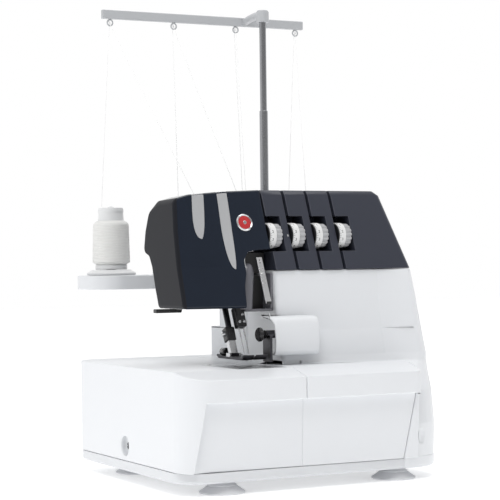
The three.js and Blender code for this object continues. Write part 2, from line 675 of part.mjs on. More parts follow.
// ---------- spool tray, cones and thread stand ----------
function spoolTray() {
  const plan = [
    [TRAY.left, TRAY.front, 34], [TRAY.right, TRAY.front, 34],
    [TRAY.right, TRAY.rear, 30], [TRAY.left, TRAY.rear, 30],
  ];
  const plate = cut(stack([{ z: TRAY.low, corners: plan }, { z: TRAY.top, corners: plan }], 0, 6),
    stack([{ z: TRAY.low - 1, corners: plan }, { z: TRAY.top - WALL, corners: plan }], WALL, 6));
  const bracket = block(28, 82, COLUMN_REAR + GAP, 119, MAST.low, 199);
  const boss = bar("z", 8.4, 213 - MAST.low, MAST.x, MAST.y, (213 + MAST.low) / 2);
  return cut(union(plate, bracket, boss), bar("z", 5, 40, MAST.x, MAST.y, MAST.low + 23));
}

function spoolHolder() {
  return turned([
    [0, 0], [26.5, 0], [26.5, 3], [22, 5.6], [5.4, 5.6], [5.2, 70], [2.2, 74], [0, 79],
  ], 0, 0, 0, 20);
}

function threadCone() {
  return turned([
    [6.2, 0], [16, 0], [17.5, 6], [20.5, 8], [19.6, 49], [14.5, 62], [13.6, 66.4], [6.2, 66.4], [6.2, 0],
  ], 0, 0, 0, 20);
}

add("spool_tray", spoolTray(), RUBBER);
CONES_X.forEach((x, i) => {
  add(`spool_holder_${i + 1}`, spoolHolder(), WHITE, [x, CONE_Y, TRAY.top + GAP]);
  add(`thread_cone_${i + 1}`, threadCone(), THREAD, [x, CONE_Y, TRAY.top + GAP + 6]);
});

const mastFoot = MAST.low + 3.5;
const mastHeight = MAST.step - mastFoot;
const mastMiddle = (MAST.step + mastFoot) / 2;
add("mast_tube", cut(bar("z", 4.6, mastHeight, MAST.x, MAST.y, mastMiddle, 20),
  bar("z", 4.15, mastHeight, MAST.x, MAST.y, mastMiddle + 2, 20)), STEEL);
add("mast_rod", bar("z", 3.7, 200, MAST.x, MAST.y, 391, 16), STEEL);

function guideBar() {
  const beam = block(-118, 128, 147, 153, 484, 494);
  const arm = block(MAST.x - 5, MAST.x + 5, MAST.y, 148, 488, 496);
  const cap = bar("z", 7, 13.5, MAST.x, MAST.y, 490.25);
  const eyelets = EYELETS_X.map((x) => {
    const ring = new THREE.TorusGeometry(3.2, 0.8, 5, 12);
    ring.rotateX(Math.PI / 2);
    ring.translate(x, CONE_Y, EYELET_Z + 3);
    return solid(ring);
  });
  return cut(union(beam, arm, cap, ...eyelets), bar("z", 4.1, 14, MAST.x, MAST.y, 484.5));
}

add("guide_bar", guideBar(), RUBBER);

// Each thread leaves the top of its cone, turns over in its eyelet and comes down to the machine.
const THREAD_ENDS = [[-64, 31, 285], [-4, 58, 294.2], [8, 60, 294.2], [80, 58, 294.2]];
const THREAD_STARTS = [-9, 5, 9, -9];
THREAD_ENDS.forEach(([x, y, z], i) => {
  const eye = EYELETS_X[i];
  const start = CONES_X[i] + THREAD_STARTS[i];
  const route = [
    [start, CONE_Y + 4, 281], [(start + eye) / 2, CONE_Y + 3.4, 380], [eye, CONE_Y + 2.8, 474],
    [eye, CONE_Y + 1.4, 479], [eye, CONE_Y - 0.6, 480.6], [eye, CONE_Y - 2, 479],
    [eye + (x - eye) * 0.02, CONE_Y - 2.6, 474], [(eye + x) / 2, (CONE_Y + y) / 2, (476 + z) / 2], [x, y, z],
  ];
  add(`thread_${i + 1}`, tube(route, 0.45, 24, 4), THREAD);
});

// ---------- controls and feet ----------
add("power_switch", block(149, 153.4, 93, 107, 35, 55), BLACK);
add("power_inlet", cut(block(141, 152.4, 115, 135, 35, 49), block(144, 160, 117.5, 132.5, 37.5, 46.5)), BLACK);
add("stitch_dial", union(bar("x", 14, 6.4, 154.8, -18, 62, 20), bar("x", 4, 20, 145, -18, 62, 16)), DIALS);
FEET.forEach(([x, y], i) => {
  const profile = [[0, 0], [21.5, 0], [22.5, 2], [14, 7], [11, 11.2], [0, 11.2]];
  add(`foot_${i + 1}`, turned(profile, 0, 0, 0, 16), RUBBER, [x, y, 0]);
});

export default machine;
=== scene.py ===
"""Look of a four-thread overlock machine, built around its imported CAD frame.

Shapes are worked out in millimetres in the machine's drawing frame: X to the handwheel, -Y to the person
sewing, Z up from the table. Each piece is then put into the frame's own metres and rides on the CAD body
that moves it.
"""

import math

import bmesh
import bpy
import numpy as np
from bpy.props import FloatProperty, FloatVectorProperty, IntProperty, PointerProperty
from bpy.types import Operator, Panel, PropertyGroup
from mathutils import Matrix, Vector


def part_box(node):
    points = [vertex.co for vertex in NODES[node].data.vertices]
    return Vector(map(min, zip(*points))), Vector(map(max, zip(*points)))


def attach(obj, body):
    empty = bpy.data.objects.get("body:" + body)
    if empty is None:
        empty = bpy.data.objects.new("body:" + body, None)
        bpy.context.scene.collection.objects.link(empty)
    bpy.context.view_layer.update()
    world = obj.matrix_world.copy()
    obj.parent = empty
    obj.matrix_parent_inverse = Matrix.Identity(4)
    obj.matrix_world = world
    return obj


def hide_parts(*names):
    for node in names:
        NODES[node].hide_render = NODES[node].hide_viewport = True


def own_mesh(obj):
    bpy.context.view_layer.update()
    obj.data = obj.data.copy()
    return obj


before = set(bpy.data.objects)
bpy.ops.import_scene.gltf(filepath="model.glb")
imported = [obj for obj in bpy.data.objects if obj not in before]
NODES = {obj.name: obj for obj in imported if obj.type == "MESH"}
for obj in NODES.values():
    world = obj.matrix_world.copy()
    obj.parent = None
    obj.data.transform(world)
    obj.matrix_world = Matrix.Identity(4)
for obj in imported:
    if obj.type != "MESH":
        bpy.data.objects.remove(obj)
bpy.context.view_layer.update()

bl_info = {
    "name": "Overlock Machine",
    "version": (1, 0, 0),
    "blender": (4, 5, 0),
    "location": "View3D > Sidebar > Overlock",
    "description": "Builds the visible pieces of an overlock machine around its frame",
    "category": "Object",
}

ROOT = "machine"

# ---------- the drawing frame ----------
MM = 0.001
ORIGIN = Vector((-0.008, -0.029, 0.0))
TO_FRAME = Matrix.Translation(ORIGIN) @ Matrix.Scale(MM, 4)
TO_DRAWING = TO_FRAME.inverted()

# How far the needle and presser bars lean back, in degrees.
LEAN = 24


def span(node):
    """Lowest and highest corner of a CAD node, in drawing millimetres."""
    low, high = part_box(node)
    return TO_DRAWING @ low, TO_DRAWING @ high


def middle(node):
    """Centre of a CAD node's box, in drawing millimetres."""
    low, high = span(node)
    return (low + high) / 2


def seat(place, degrees=0, axis="X"):
    """Where a part stands: at a place, after a turn about an axis."""
    return Matrix.Translation(place) @ Matrix.Rotation(math.radians(degrees), 4, axis)


def footing(node):
    """Centre of the underside of a CAD node's box, and half its width."""
    low, high = span(node)
    return Vector(((low.x + high.x) / 2, (low.y + high.y) / 2, low.z)), (high.x - low.x) / 2


def leant(y, z):
    """Place of the needle and presser bars: local Z runs up along a bar through (y, z)."""
    return seat((0, y, z), -LEAN)


NEEDLE_AXIS = leant(-50, 141)
PRESSER_AXIS = leant(-35.5, 153)
PRESSER_X = -61

# The column's walls meet the bed's between these heights.
LEDGE_LOW, LEDGE_HIGH = 149.9, 151.1


# ---------- settings ----------
def shade(red, green, blue):
    """A screen colour of 0 to 255 as linear light."""
    parts = [value / 255 for value in (red, green, blue)]
    return tuple(part / 12.92 if part <= 0.04045 else ((part + 0.055) / 1.055) ** 2.4 for part in parts)


def colour_setting(name, description, red, green, blue):
    """A colour that the panel lists."""
    return FloatVectorProperty(
        name=name, description=description, subtype="COLOR", min=0, max=1, default=shade(red, green, blue)
    )


def length_setting(name, description, metres):
    """A length that the panel lists."""
    return FloatProperty(name=name, description=description, unit="LENGTH", min=0, default=metres)


class CasingSettings(PropertyGroup):
    """The light covers, the pan and the knife guard."""

    white: colour_setting("White", "Colour of the moulded covers", 226, 228, 231)
    edge: length_setting("Edge round", "Radius of the covers' edges", 0.0014)
    guard_edge: length_setting("Guard round", "Radius of the knife guard's edges", 0.0008)


class HeadSettings(PropertyGroup):
    """The dark face cover with its stripes and badge."""

    navy: colour_setting("Navy", "Colour of the face cover", 27, 34, 46)
    silver: colour_setting("Silver", "Colour of the two stripes", 186, 187, 189)
    enamel: colour_setting("Enamel", "Colour of the badge's centre", 186, 32, 36)
    wall: length_setting("Wall", "Thickness of the face cover", 0.003)
    stripe_rise: length_setting("Stripe rise", "How far the stripes stand proud", 0.00035)
    badge_radius: length_setting("Badge radius", "Outer radius of the round badge", 0.009)


class TensionSettings(PropertyGroup):
    """The dark tension housing and its wheels."""

    charcoal: colour_setting("Charcoal", "Colour of the tension housing", 50, 53, 64)
    wheel_grey: colour_setting("Wheel grey", "Colour of the scalloped wheels", 176, 177, 179)
    ring_white: colour_setting("Ring white", "Colour of the graduated rings", 222, 222, 222)
    flutes: IntProperty(name="Flutes", description="Scallops round a wheel", min=6, default=15)
    numeral: length_setting("Numeral height", "Height of the numbers on a ring", 0.003)


class StitchSettings(PropertyGroup):
    """Needles, presser foot, knives and what lies under the needle plate."""

    steel: colour_setting("Steel", "Colour of the bright steel parts", 205, 206, 208)
    black: colour_setting("Black", "Colour of the black fittings", 26, 26, 28)
    needle_radius: length_setting("Needle radius", "Radius of a needle's blade", 0.00045)


class StandSettings(PropertyGroup):
    """Spool tray, cones, mast, guide bar and threads."""

    tray: colour_setting("Tray", "Colour of the spool tray", 218, 220, 223)
    light_grey: colour_setting("Light grey", "Colour of the guide bar", 178, 180, 183)
    yarn: colour_setting("Yarn", "Colour of the thread", 232, 232, 230)
    yarn_radius: length_setting("Yarn radius", "Radius of a thread", 0.0003)
    winding: length_setting("Winding", "Height between the turns wound on a cone", 0.0016)


class StageSettings(PropertyGroup):
    """Camera, lights and floor."""

    floor: colour_setting("Floor", "Colour of the floor", 250, 250, 250)
    lens: FloatProperty(name="Lens", description="Focal length", unit="CAMERA", min=1, default=121.36)
    key: FloatProperty(name="Key light", description="Power of the key", unit="POWER", min=0, default=9.0)
    dim: FloatProperty(name="Dim front", description="Brightness in front of the machine", min=0, default=0.4)


SETTINGS = {
    "casing": CasingSettings,
    "head": HeadSettings,
    "tension": TensionSettings,
    "stitch": StitchSettings,
    "stand": StandSettings,
    "stage": StageSettings,
}


def settings(context, group):
    """One of the machine's groups of settings."""
    return getattr(context.scene, f"overlock_{group}")


# ---------- shader maths ----------
class Value:
    """A socket of a material's nodes, so that shader maths reads as ordinary expressions."""

    def __init__(self, surface, socket):
        self.surface = surface
        self.socket = socket

    def maths(self, operation, first, second=0.0):
        """One Math node on two values."""
        return self.surface.node("ShaderNodeMath", {"operation": operation}, {0: first, 1: second})

    def __add__(self, other):
        return self.maths("ADD", self, other)

    def __radd__(self, other):
        return self.maths("ADD", other, self)

    def __sub__(self, other):
        return self.maths("SUBTRACT", self, other)

    def __rsub__(self, other):
        return self.maths("SUBTRACT", other, self)

    def __mul__(self, other):
        return self.maths("MULTIPLY", self, other)

    def __rmul__(self, other):
        return self.maths("MULTIPLY", other, self)

    def __pow__(self, other):
        return self.maths("POWER", self, other)

    def sine(self):
        """Sine of an angle in radians."""
        return self.maths("SINE", self)

    def over(self, limit):
        """1 where the value is over the limit, else 0."""
        return self.maths("GREATER_THAN", self, limit)


class Surface:
    """Builds one material, or the world's light."""

    def __init__(self, name, owner=None):
        self.material = owner or bpy.data.materials.new(name)
        self.material.use_nodes = True
        self.tree = self.material.node_tree
        self.tree.nodes.clear()

    def node(self, kind, options=None, inputs=None, output=0):
        """Adds a node: its options first, then its sockets' values or links."""
        made = self.tree.nodes.new(kind)
        for name, option in (options or {}).items():
            if name == "stops":
                self.set_stops(made.color_ramp, option)
            else:
                setattr(made, name, option)
        for name, value in (inputs or {}).items():
            if isinstance(value, Value):
                self.tree.links.new(value.socket, made.inputs[name])
            else:
                made.inputs[name].default_value = value
        return Value(self, made.outputs[output])

    @staticmethod
    def set_stops(ramp, stops):
        """Gives a colour ramp its stops of (place, grey)."""
        while len(ramp.elements) < len(stops):
            ramp.elements.new(0.5)
        for element, (place, grey) in zip(ramp.elements, stops):
            element.position = place
            element.color = (grey, grey, grey, 1)

    def place(self, stretch=(1, 1, 1)):
        """Object coordinates in metres, stretched along each axis."""
        where = self.node("ShaderNodeTexCoord", output="Object")
        return self.node("ShaderNodeMapping", {}, {"Vector": where, "Scale": stretch})

    def noise(self, scale, detail=2.0, stretch=(1, 1, 1)):
        """Noise between 0 and 1."""
        sockets = {"Vector": self.place(stretch), "Scale": scale, "Detail": detail}
        return self.node("ShaderNodeTexNoise", {}, sockets, output="Fac")

    def blend(self, low, high, factor):
        """A colour between two colours."""
        sockets = {"Factor": factor, 6: (*low, 1), 7: (*high, 1)}
        return self.node("ShaderNodeMix", {"data_type": "RGBA"}, sockets, output=2)

    def bump(self, height, strength, distance):
        """A normal tilted by a height."""
        return self.node("ShaderNodeBump", {}, {"Height": height, "Strength": strength, "Distance": distance})

    def finish(self, varying, **constants):
        """Ends the material: varying sockets are linked, and constants are set on the shader itself."""
        sockets = dict(varying)
        sockets.update({name.replace("_", " ").title(): value for name, value in constants.items()})
        if "Ior" in sockets:
            sockets["IOR"] = sockets.pop("Ior")
        if "Specular Ior Level" in sockets:
            sockets["Specular IOR Level"] = sockets.pop("Specular Ior Level")
        shader = self.node("ShaderNodeBsdfPrincipled", {}, sockets)
        self.node_output(shader)
        return self.material

    def node_output(self, shader):
        """Links a shader to the material's output."""
        out = self.tree.nodes.new("ShaderNodeOutputMaterial")
        self.tree.links.new(shader.socket, out.inputs["Surface"])


def shift(colour, factor):
    """A colour made lighter or darker."""
    return tuple(min(1.0, part * factor) for part in colour)


def moulded(name, colour, roughness, grain=0.12, mottle=0.02, coat=0.0, specular=0.5):
    """Moulded plastic: a fine spark-eroded grain, a faint mottle and slightly uneven gloss."""
    surface = Surface(name)
    cloud = surface.noise(14.0, 3.0)
    grit = surface.noise(1900.0, 2.0)
    varying = {
        "Base Color": surface.blend(shift(colour, 1 - mottle), shift(colour, 1 + mottle), cloud),
        "Roughness": roughness + (cloud - 0.5) * 0.05 + (grit - 0.5) * 0.05,
        "Normal": surface.bump(grit, grain, 0.0001),
    }
    return surface.finish(varying, coat_weight=coat, coat_roughness=0.06, specular_ior_level=specular)


def polished(name, colour, smear=0.05, specular=0.4):
    """Polished dark plastic with faint wiping marks and a slightly wavy gloss."""
    surface = Surface(name)
    wipe = surface.noise(30.0, 4.0, (1.0, 1.0, 0.35))
    wave = surface.noise(22.0, 1.0)
    varying = {
        "Base Color": surface.blend(shift(colour, 0.94), shift(colour, 1.08), wave),
        "Roughness": 0.12 + (wipe ** 2.0) * smear,
        "Normal": surface.bump(wave, 0.05, 0.0004),
    }
    return surface.finish(varying, coat_weight=0.1, coat_roughness=0.05, specular_ior_level=specular)


def brushed(name, colour, roughness, along=(60.0, 60.0, 1.5), scratch=0.15, metallic=1.0):
    """Metal brushed or ground along one axis: fine streaks in gloss and height."""
    surface = Surface(name)
    streak = surface.noise(55.0, 3.0, along)
    cloud = surface.noise(25.0, 2.0)
    varying = {
        "Base Color": surface.blend(shift(colour, 0.86), shift(colour, 1.04), streak * 0.7 + cloud * 0.3),
        "Roughness": roughness + (streak - 0.5) * 0.18,
        "Normal": surface.bump(streak, scratch, 0.00008),
    }
    return surface.finish(varying, metallic=metallic)


def cast(name, colour):
    """Rough-cast metal with a sandy skin."""
    surface = Surface(name)
    sand = surface.noise(900.0, 4.0)
    cloud = surface.noise(40.0, 3.0)
    varying = {
        "Base Color": surface.blend(shift(colour, 0.8), shift(colour, 1.1), cloud * 0.6 + sand * 0.4),
        "Roughness": 0.42 + sand * 0.25,
        "Normal": surface.bump(sand, 0.5, 0.0003),
    }
    return surface.finish(varying, metallic=0.9)


def rubber(name, colour):
    """Dull rubber with dusty patches."""
    surface = Surface(name)
    dust = surface.noise(60.0, 4.0)
    pore = surface.noise(1400.0, 2.0)
    varying = {
        "Base Color": surface.blend(colour, shift(colour, 1.25), dust),
        "Roughness": 0.62 + (dust - 0.5) * 0.2,
        "Normal": surface.bump(pore, 0.25, 0.0001),
    }
    return surface.finish(varying, specular_ior_level=0.3)


def wound_yarn(name, colour, winding):
    """Yarn laid on a cone in two crossing helices; the piece's own origin lies on the cone's axis."""
    surface = Surface(name)
    where = surface.place()
    split = surface.node("ShaderNodeSeparateXYZ", {}, {"Vector": where})
    nodes = split.socket.node.outputs
    across, along, height = (Value(surface, nodes[axis]) for axis in ("X", "Y", "Z"))
    around = across.maths("ARCTAN2", along, across)
    turns = 2 * math.pi / winding
    rising = (height * turns + around * 3.0).sine()
    falling = (height * turns - around * 3.0).sine()
    patch = (around * 2.0 + height * (turns / 11)).sine().over(0.0)
    strands = rising * patch + falling * (1 - patch)
    fibre = surface.noise(2600.0, 2.0)
    relief = strands * 0.5 + fibre * 0.5
    varying = {
        # The yarn is darker where the relief is low: painted shade between the strands.
        "Base Color": surface.blend(shift(colour, 0.8), colour, relief * 0.5 + 0.5),
        "Roughness": 0.78 + fibre * 0.15,
        "Normal": surface.bump(relief, 0.55, 0.0004),
    }
    return surface.finish(varying, sheen_weight=0.25, sheen_roughness=0.4)


def twisted_yarn(name, colour):
    """A sewing thread: a tight diagonal twist and loose fibres."""
    surface = Surface(name)
    twist = surface.node(
        "ShaderNodeTexWave",
        {"wave_type": "BANDS", "bands_direction": "DIAGONAL"},
        {"Vector": surface.place(), "Scale": 420.0, "Distortion": 1.5},
        output="Fac",
    )
    varying = {
        # The thread is darker in the low bands of its twist: painted shade in the grooves.
        "Base Color": surface.blend(shift(colour, 0.86), colour, twist),
        "Roughness": 0.7 + twist * 0.15,
        "Normal": surface.bump(twist, 0.4, 0.0001),
    }
    return surface.finish(varying, sheen_weight=0.3)


def clear_lens(name):
    """The lamp's ribbed clear lens."""
    surface = Surface(name)
    rib = surface.node(
        "ShaderNodeTexWave",
        {"wave_type": "BANDS", "bands_direction": "X"},
        {"Vector": surface.place(), "Scale": 260.0},
        output="Fac",
    )
    varying = {
        "Base Color": surface.blend((0.8, 0.82, 0.85), (0.95, 0.96, 0.98), rib),
        "Roughness": 0.06 + rib * 0.08,
        "Normal": surface.bump(rib, 0.3, 0.0002),
    }
    return surface.finish(varying, transmission_weight=0.7, ior=1.49)


def enamel(name, colour):
    """Glassy enamel over a sunray-turned base."""
    surface = Surface(name)
    ray = surface.node(
        "ShaderNodeTexWave",
        {"wave_type": "RINGS", "rings_direction": "Y"},
        {"Vector": surface.place(), "Scale": 300.0, "Distortion": 2.0},
        output="Fac",
    )
    varying = {
        "Base Color": surface.blend(shift(colour, 0.7), shift(colour, 1.25), ray),
        "Roughness": 0.15 + ray * 0.05,
        "Normal": surface.bump(ray, 0.05, 0.0001),
    }
    return surface.finish(varying, coat_weight=1.0, coat_roughness=0.03)


FINISHES = {}


def mix_finishes(context):
    """Makes each of the machine's finishes once."""
    casing, head, tension = (settings(context, group) for group in ("casing", "head", "tension"))
    stitch, stand = settings(context, "stitch"), settings(context, "stand")
    steel, black = tuple(stitch.steel), tuple(stitch.black)
    grey = tuple(stand.light_grey)
    FINISHES.update(
        {
            "cover": moulded("cover white", tuple(casing.white), 0.34, 0.06, 0.012),
            # The pan is the cover white made 7% darker: painted shade for the undercut bottom band.
            "pan": moulded("pan white with painted shade", shift(casing.white, 0.93), 0.45, 0.1),
            "face": polished("face cover navy", tuple(head.navy), 0.05, 0.22),
            "end": moulded("face cover end", shade(30, 31, 36), 0.42, 0.12, 0.03, 0.0, 0.1),
            "stripe": brushed("stripe silver", tuple(head.silver), 0.42, (60.0, 60.0, 1.5), 0.06, 0.3),
            "enamel": enamel("badge enamel", tuple(head.enamel)),
            "housing": moulded("tension housing charcoal", tuple(tension.charcoal), 0.36, 0.16, 0.03),
            "ring": moulded("ring white", tuple(tension.ring_white), 0.4, 0.05),
            "wheel": moulded("wheel grey", tuple(tension.wheel_grey), 0.3, 0.05),
            "print": moulded("printed mark", (0.02, 0.02, 0.025), 0.5, 0.02),
            "white print": moulded("white printed mark", (0.8, 0.8, 0.8), 0.5, 0.02),
            "recess": polished("threading recess grey", shade(112, 112, 118), 0.1, 0.5),
            # Near-black: painted shade standing in for the dark depth of the threading recess.
            "recess painted shade": moulded("recess back painted shade", (0.012, 0.012, 0.013), 0.4, 0.05),
            "steel": brushed("bright steel", steel, 0.2),
            "mast steel": brushed("mast steel", shade(158, 159, 162), 0.22),
            "bright steel": brushed("polished guide steel", shade(236, 236, 237), 0.3, (1.0, 1.0, 1.0), 0.01),
            "flat steel": brushed("ground plate steel", steel, 0.28, (1.5, 60.0, 60.0), 0.1),
            "dark steel": brushed("blackened steel", shade(66, 66, 70), 0.3),
            "black": moulded("fitting black", black, 0.28, 0.08, 0.05),
            "knob": polished("knob black", black, 0.08, 0.5),
            "cast": cast("cast frame", shade(150, 152, 155)),
            "motor": moulded("motor paint", (0.02, 0.02, 0.022), 0.35, 0.3, 0.05, 0.3),
            "belt": rubber("belt rubber", (0.015, 0.015, 0.016)),
            "foot": rubber("foot rubber", shade(212, 213, 216)),
            "tray": moulded("tray grey white", tuple(stand.tray), 0.4, 0.08, 0.012),
            "light": moulded("light grey", grey, 0.42, 0.12, 0.015),
            "core": moulded("spool plastic", shade(220, 221, 222), 0.3, 0.03),
            "wound": wound_yarn("wound yarn", tuple(stand.yarn), stand.winding),
            "thread": twisted_yarn("sewing thread", shade(252, 252, 252)),
            "lens": clear_lens("lamp lens"),
        }
    )


# ---------- shapes in drawing millimetres ----------
def joined(*shapes):
    """Several meshes as one."""
    whole = bmesh.new()
    for shape in shapes:
        data = bpy.data.meshes.new("part")
        shape.to_mesh(data)
        shape.free()
        whole.from_mesh(data)
        bpy.data.meshes.remove(data)
    return whole


def placed(shape, matrix):
    """A shape moved by a matrix."""
    bmesh.ops.transform(shape, matrix=matrix, verts=shape.verts)
    return shape


def skin(rings, capped=True):
    """A closed surface through rings of points, each ring with the same number of points."""
    shape = bmesh.new()
    rows = [[shape.verts.new(point) for point in ring] for ring in rings]
    count = len(rows[0])
    for low, high in zip(rows, rows[1:]):
        for i in range(count):
            after = (i + 1) % count
            shape.faces.new((low[i], low[after], high[after], high[i]))
    if capped:
        shape.faces.new(list(reversed(rows[0])))
        shape.faces.new(rows[-1])
    bmesh.ops.recalc_face_normals(shape, faces=shape.faces)
    return shape


def turned(profile, sides=64, axis="Z", centre=(0, 0, 0), wave=None, hollow=False):
    """A turned piece, from a profile of (radius, height) that runs from the bottom up.

    wave(angle, height) may swell the radius. A hollow piece's profile runs round its wall, back to its start.
    """
    rings = []
    for radius, height in profile:
        ring = []
        for i in range(sides):
            angle = 2 * math.pi * i / sides
            reach = max(radius, 0.01) + (wave(angle, height) if wave else 0.0)
            ring.append(Vector((reach * math.cos(angle), reach * math.sin(angle), height)))
        rings.append(ring)
    if hollow:
        shape = skin([*rings, rings[0]], False)
        bmesh.ops.remove_doubles(shape, verts=shape.verts, dist=0.001)
    else:
        shape = skin(rings)
    spin = {"Z": Matrix.Identity(4), "X": Matrix.Rotation(math.pi / 2, 4, "Y")}
    spin["Y"] = Matrix.Rotation(-math.pi / 2, 4, "X")
    return placed(shape, Matrix.Translation(centre) @ spin[axis])


def fluted(count, depth, low, high):
    """A wave for a turned piece: shallow flutes round it between two heights."""

    def wave(angle, height):
        return -depth * (0.5 - 0.5 * math.cos(count * angle)) if low < height < high else 0.0

    return wave


def rod(radius, length, axis="Z", centre=(0, 0, 0), sides=48, chamfer=0.3):
    """A round bar with chamfered ends, centred on a point."""
    half = length / 2
    edge = min(chamfer, radius / 2, half / 2)
    profile = [(radius - edge, -half), (radius, -half + edge), (radius, half - edge), (radius - edge, half)]
    return turned(profile, sides, axis, centre)


def block(low, high):
    """A box between two corners."""
    shape = bmesh.new()
    size = Vector(high) - Vector(low)
    corner = Matrix.Translation((Vector(low) + Vector(high)) / 2) @ Matrix.Diagonal((*size, 1))
    bmesh.ops.create_cube(shape, size=1, matrix=corner)
    return shape


def prism(points, axis, start, end):
    """An outline given in two coordinates, swept along the third from start to end."""
    turn = {
        "X": lambda u, v, w: Vector((w, u, v)),
        "Y": lambda u, v, w: Vector((u, w, v)),
        "Z": lambda u, v, w: Vector((u, v, w)),
    }[axis]
    return skin([[turn(u, v, w) for u, v in points] for w in (start, end)])


def smooth_line(points, steps):
    """Catmull-Rom points through a route, with steps between each pair."""
    route = [Vector(p) for p in points]
    route = [route[0] * 2 - route[1], *route, route[-1] * 2 - route[-2]]
    line = []
    for a, b, c, d in zip(route, route[1:], route[2:], route[3:]):
        for k in range(steps):
            t = k / steps
            square, cube = 2 * a - 5 * b + 4 * c - d, 3 * b - a - 3 * c + d
            line.append(0.5 * (2 * b + (c - a) * t + square * t**2 + cube * t**3))
    return [*line, route[-2]]


def tube(line, radius, sides=10):
    """A round tube along a line of points; radius may be one number or one for each point."""
    radii = radius if isinstance(radius, list) else [radius] * len(line)
    forward = (line[1] - line[0]).normalized()
    side = forward.orthogonal().normalized()
    rings = []
    for i, point in enumerate(line):
        ahead = (line[min(i + 1, len(line) - 1)] - line[max(i - 1, 0)]).normalized()
        side = (side - ahead * side.dot(ahead)).normalized()
        up = ahead.cross(side)
        angles = [2 * math.pi * k / sides for k in range(sides)]
        rings.append([point + (side * math.cos(a) + up * math.sin(a)) * radii[i] for a in angles])
    return skin(rings)


def rounded(corners, steps=6):
    """Outline from corners (u, v, radius), in either sense."""
    points = []
    for i, (u, v, radius) in enumerate(corners):
        before, after = corners[i - 1], corners[(i + 1) % len(corners)]
        here = Vector((u, v))
        back = (Vector(before[:2]) - here).normalized()
        ahead = (Vector(after[:2]) - here).normalized()
        half = math.acos(max(-1.0, min(1.0, back.dot(ahead)))) / 2
        reach = radius / math.tan(half)
        start, end = here + back * reach, here + ahead * reach
        weight = math.sin(half)
        for k in range(steps + 1):
            t = k / steps
            ends = (1 - t) ** 2 + t**2
            middle_weight = 2 * t * (1 - t) * weight
            point = start * (1 - t) ** 2 + here * middle_weight + end * t**2
            points.append(point / (ends + middle_weight))
    return points


def looped(shape, heights, reach=1.0):
    """Adds edge loops just above and below some heights, so that a change of slope there stays narrow."""
    for height in heights:
        for z in (height - reach, height + reach):
            geometry = [*shape.verts, *shape.edges, *shape.faces]
            bmesh.ops.bisect_plane(shape, geom=geometry, dist=0.001, plane_co=(0, 0, z), plane_no=(0, 0, 1))
    return shape


def copy_of(node, levelled=False):
    """A CAD node's own shape as clean faces; levelled brings its ledge to one height."""
    shape = bmesh.new()
    shape.from_mesh(NODES[node].data)
    placed(shape, TO_DRAWING)
    for vert in shape.verts:
        if levelled and LEDGE_LOW < vert.co.z < LEDGE_HIGH:
            vert.co.z = (LEDGE_LOW + LEDGE_HIGH) / 2
    bmesh.ops.remove_doubles(shape, verts=shape.verts, dist=0.13 if levelled else 0.002)
    bmesh.ops.dissolve_limit(shape, angle_limit=math.radians(0.7), verts=shape.verts, edges=shape.edges)
    return shape


def carved(name, whole, *tools):
    """A mesh with other shapes cut out of it."""
    base = bpy.data.objects.new(name, bpy.data.meshes.new(name))
    bpy.context.scene.collection.objects.link(base)
    whole.to_mesh(base.data)
    whole.free()
    cutters = []
    for tool in tools:
        cutter = bpy.data.objects.new("cutter", bpy.data.meshes.new("cutter"))
        bpy.context.scene.collection.objects.link(cutter)
        tool.to_mesh(cutter.data)
        tool.free()
        cutters.append(cutter)
        step = base.modifiers.new("cut", "BOOLEAN")
        step.operation = "DIFFERENCE"
        step.solver = "EXACT"
        step.object = cutter
    bpy.context.view_layer.update()
    result = bmesh.new()
    evaluated = base.evaluated_get(bpy.context.evaluated_depsgraph_get())
    result.from_mesh(evaluated.to_mesh())
    evaluated.to_mesh_clear()
    for spare in [base, *cutters]:
        data = spare.data
        bpy.data.objects.remove(spare)
        bpy.data.meshes.remove(data)
    return result


def piece(name, shape, finish, body=ROOT, node=None, edge=0.0, sharp=35.0, origin=None):
    """Puts a shape into the frame as one of the machine's pieces.

    node is the CAD node that it replaces, edge rounds its edges in millimetres, and origin, in drawing
    millimetres, is where its object sits.
    """
    placed(shape, TO_FRAME)
    data = bpy.data.meshes.new(name)
    made = bpy.data.objects.new(name, data)
    if origin is not None:
        made.location = TO_FRAME @ Vector(origin)
        placed(shape, Matrix.Translation(-made.location))
    shape.to_mesh(data)
    shape.free()
    data.materials.append(FINISHES[finish])
    data.shade_smooth()
    bpy.context.scene.collection.objects.link(made)
    if edge:
        bevel = made.modifiers.new("edges", "BEVEL")
        bevel.width = edge * MM
        bevel.segments = 3
        bevel.limit_method = "ANGLE"
        bevel.angle_limit = math.radians(sharp)
        bevel.use_clamp_overlap = False
        even = made.modifiers.new("even shading", "WEIGHTED_NORMAL")
        even.keep_sharp = True
        even.weight = 60
    else:
        data.set_sharp_from_angle(angle=math.radians(sharp))
    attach(made, body)
    if node:
        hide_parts(node)
    return made


def carried(name, node, finish, edge, body=ROOT):
    """A piece with its CAD node's own shape and rounded edges."""
    return piece(name, copy_of(node), finish, body, node=node, edge=edge)


def screw(radius, height):
    """A screw head with a slot, standing on the origin, facing +Z."""
    head = turned([(radius, 0), (radius, height * 0.6), (radius * 0.8, height), (0, height)], 32)
    width = radius * 0.14
    slot = block((-width, -radius * 1.2, height * 0.5), (width, radius * 1.2, height * 1.5))
    return carved("screw", head, slot)


class MachineOperator(Operator):
    """Shared form of the machine's operators: one runs, and anything amiss raises."""

    bl_options = {"REGISTER", "UNDO"}

    def execute(self, context):
        """Builds the pieces."""
        self.build(context)
        return {"FINISHED"}


# ---------- stage ----------
# The camera's place in metres, and its turn round the machine, pitch and roll in degrees.
CAMERA_PLACE = (-0.81387, -1.57158, 0.22140)
CAMERA_TURN = (-27.0402, 0.3482, -0.6960)


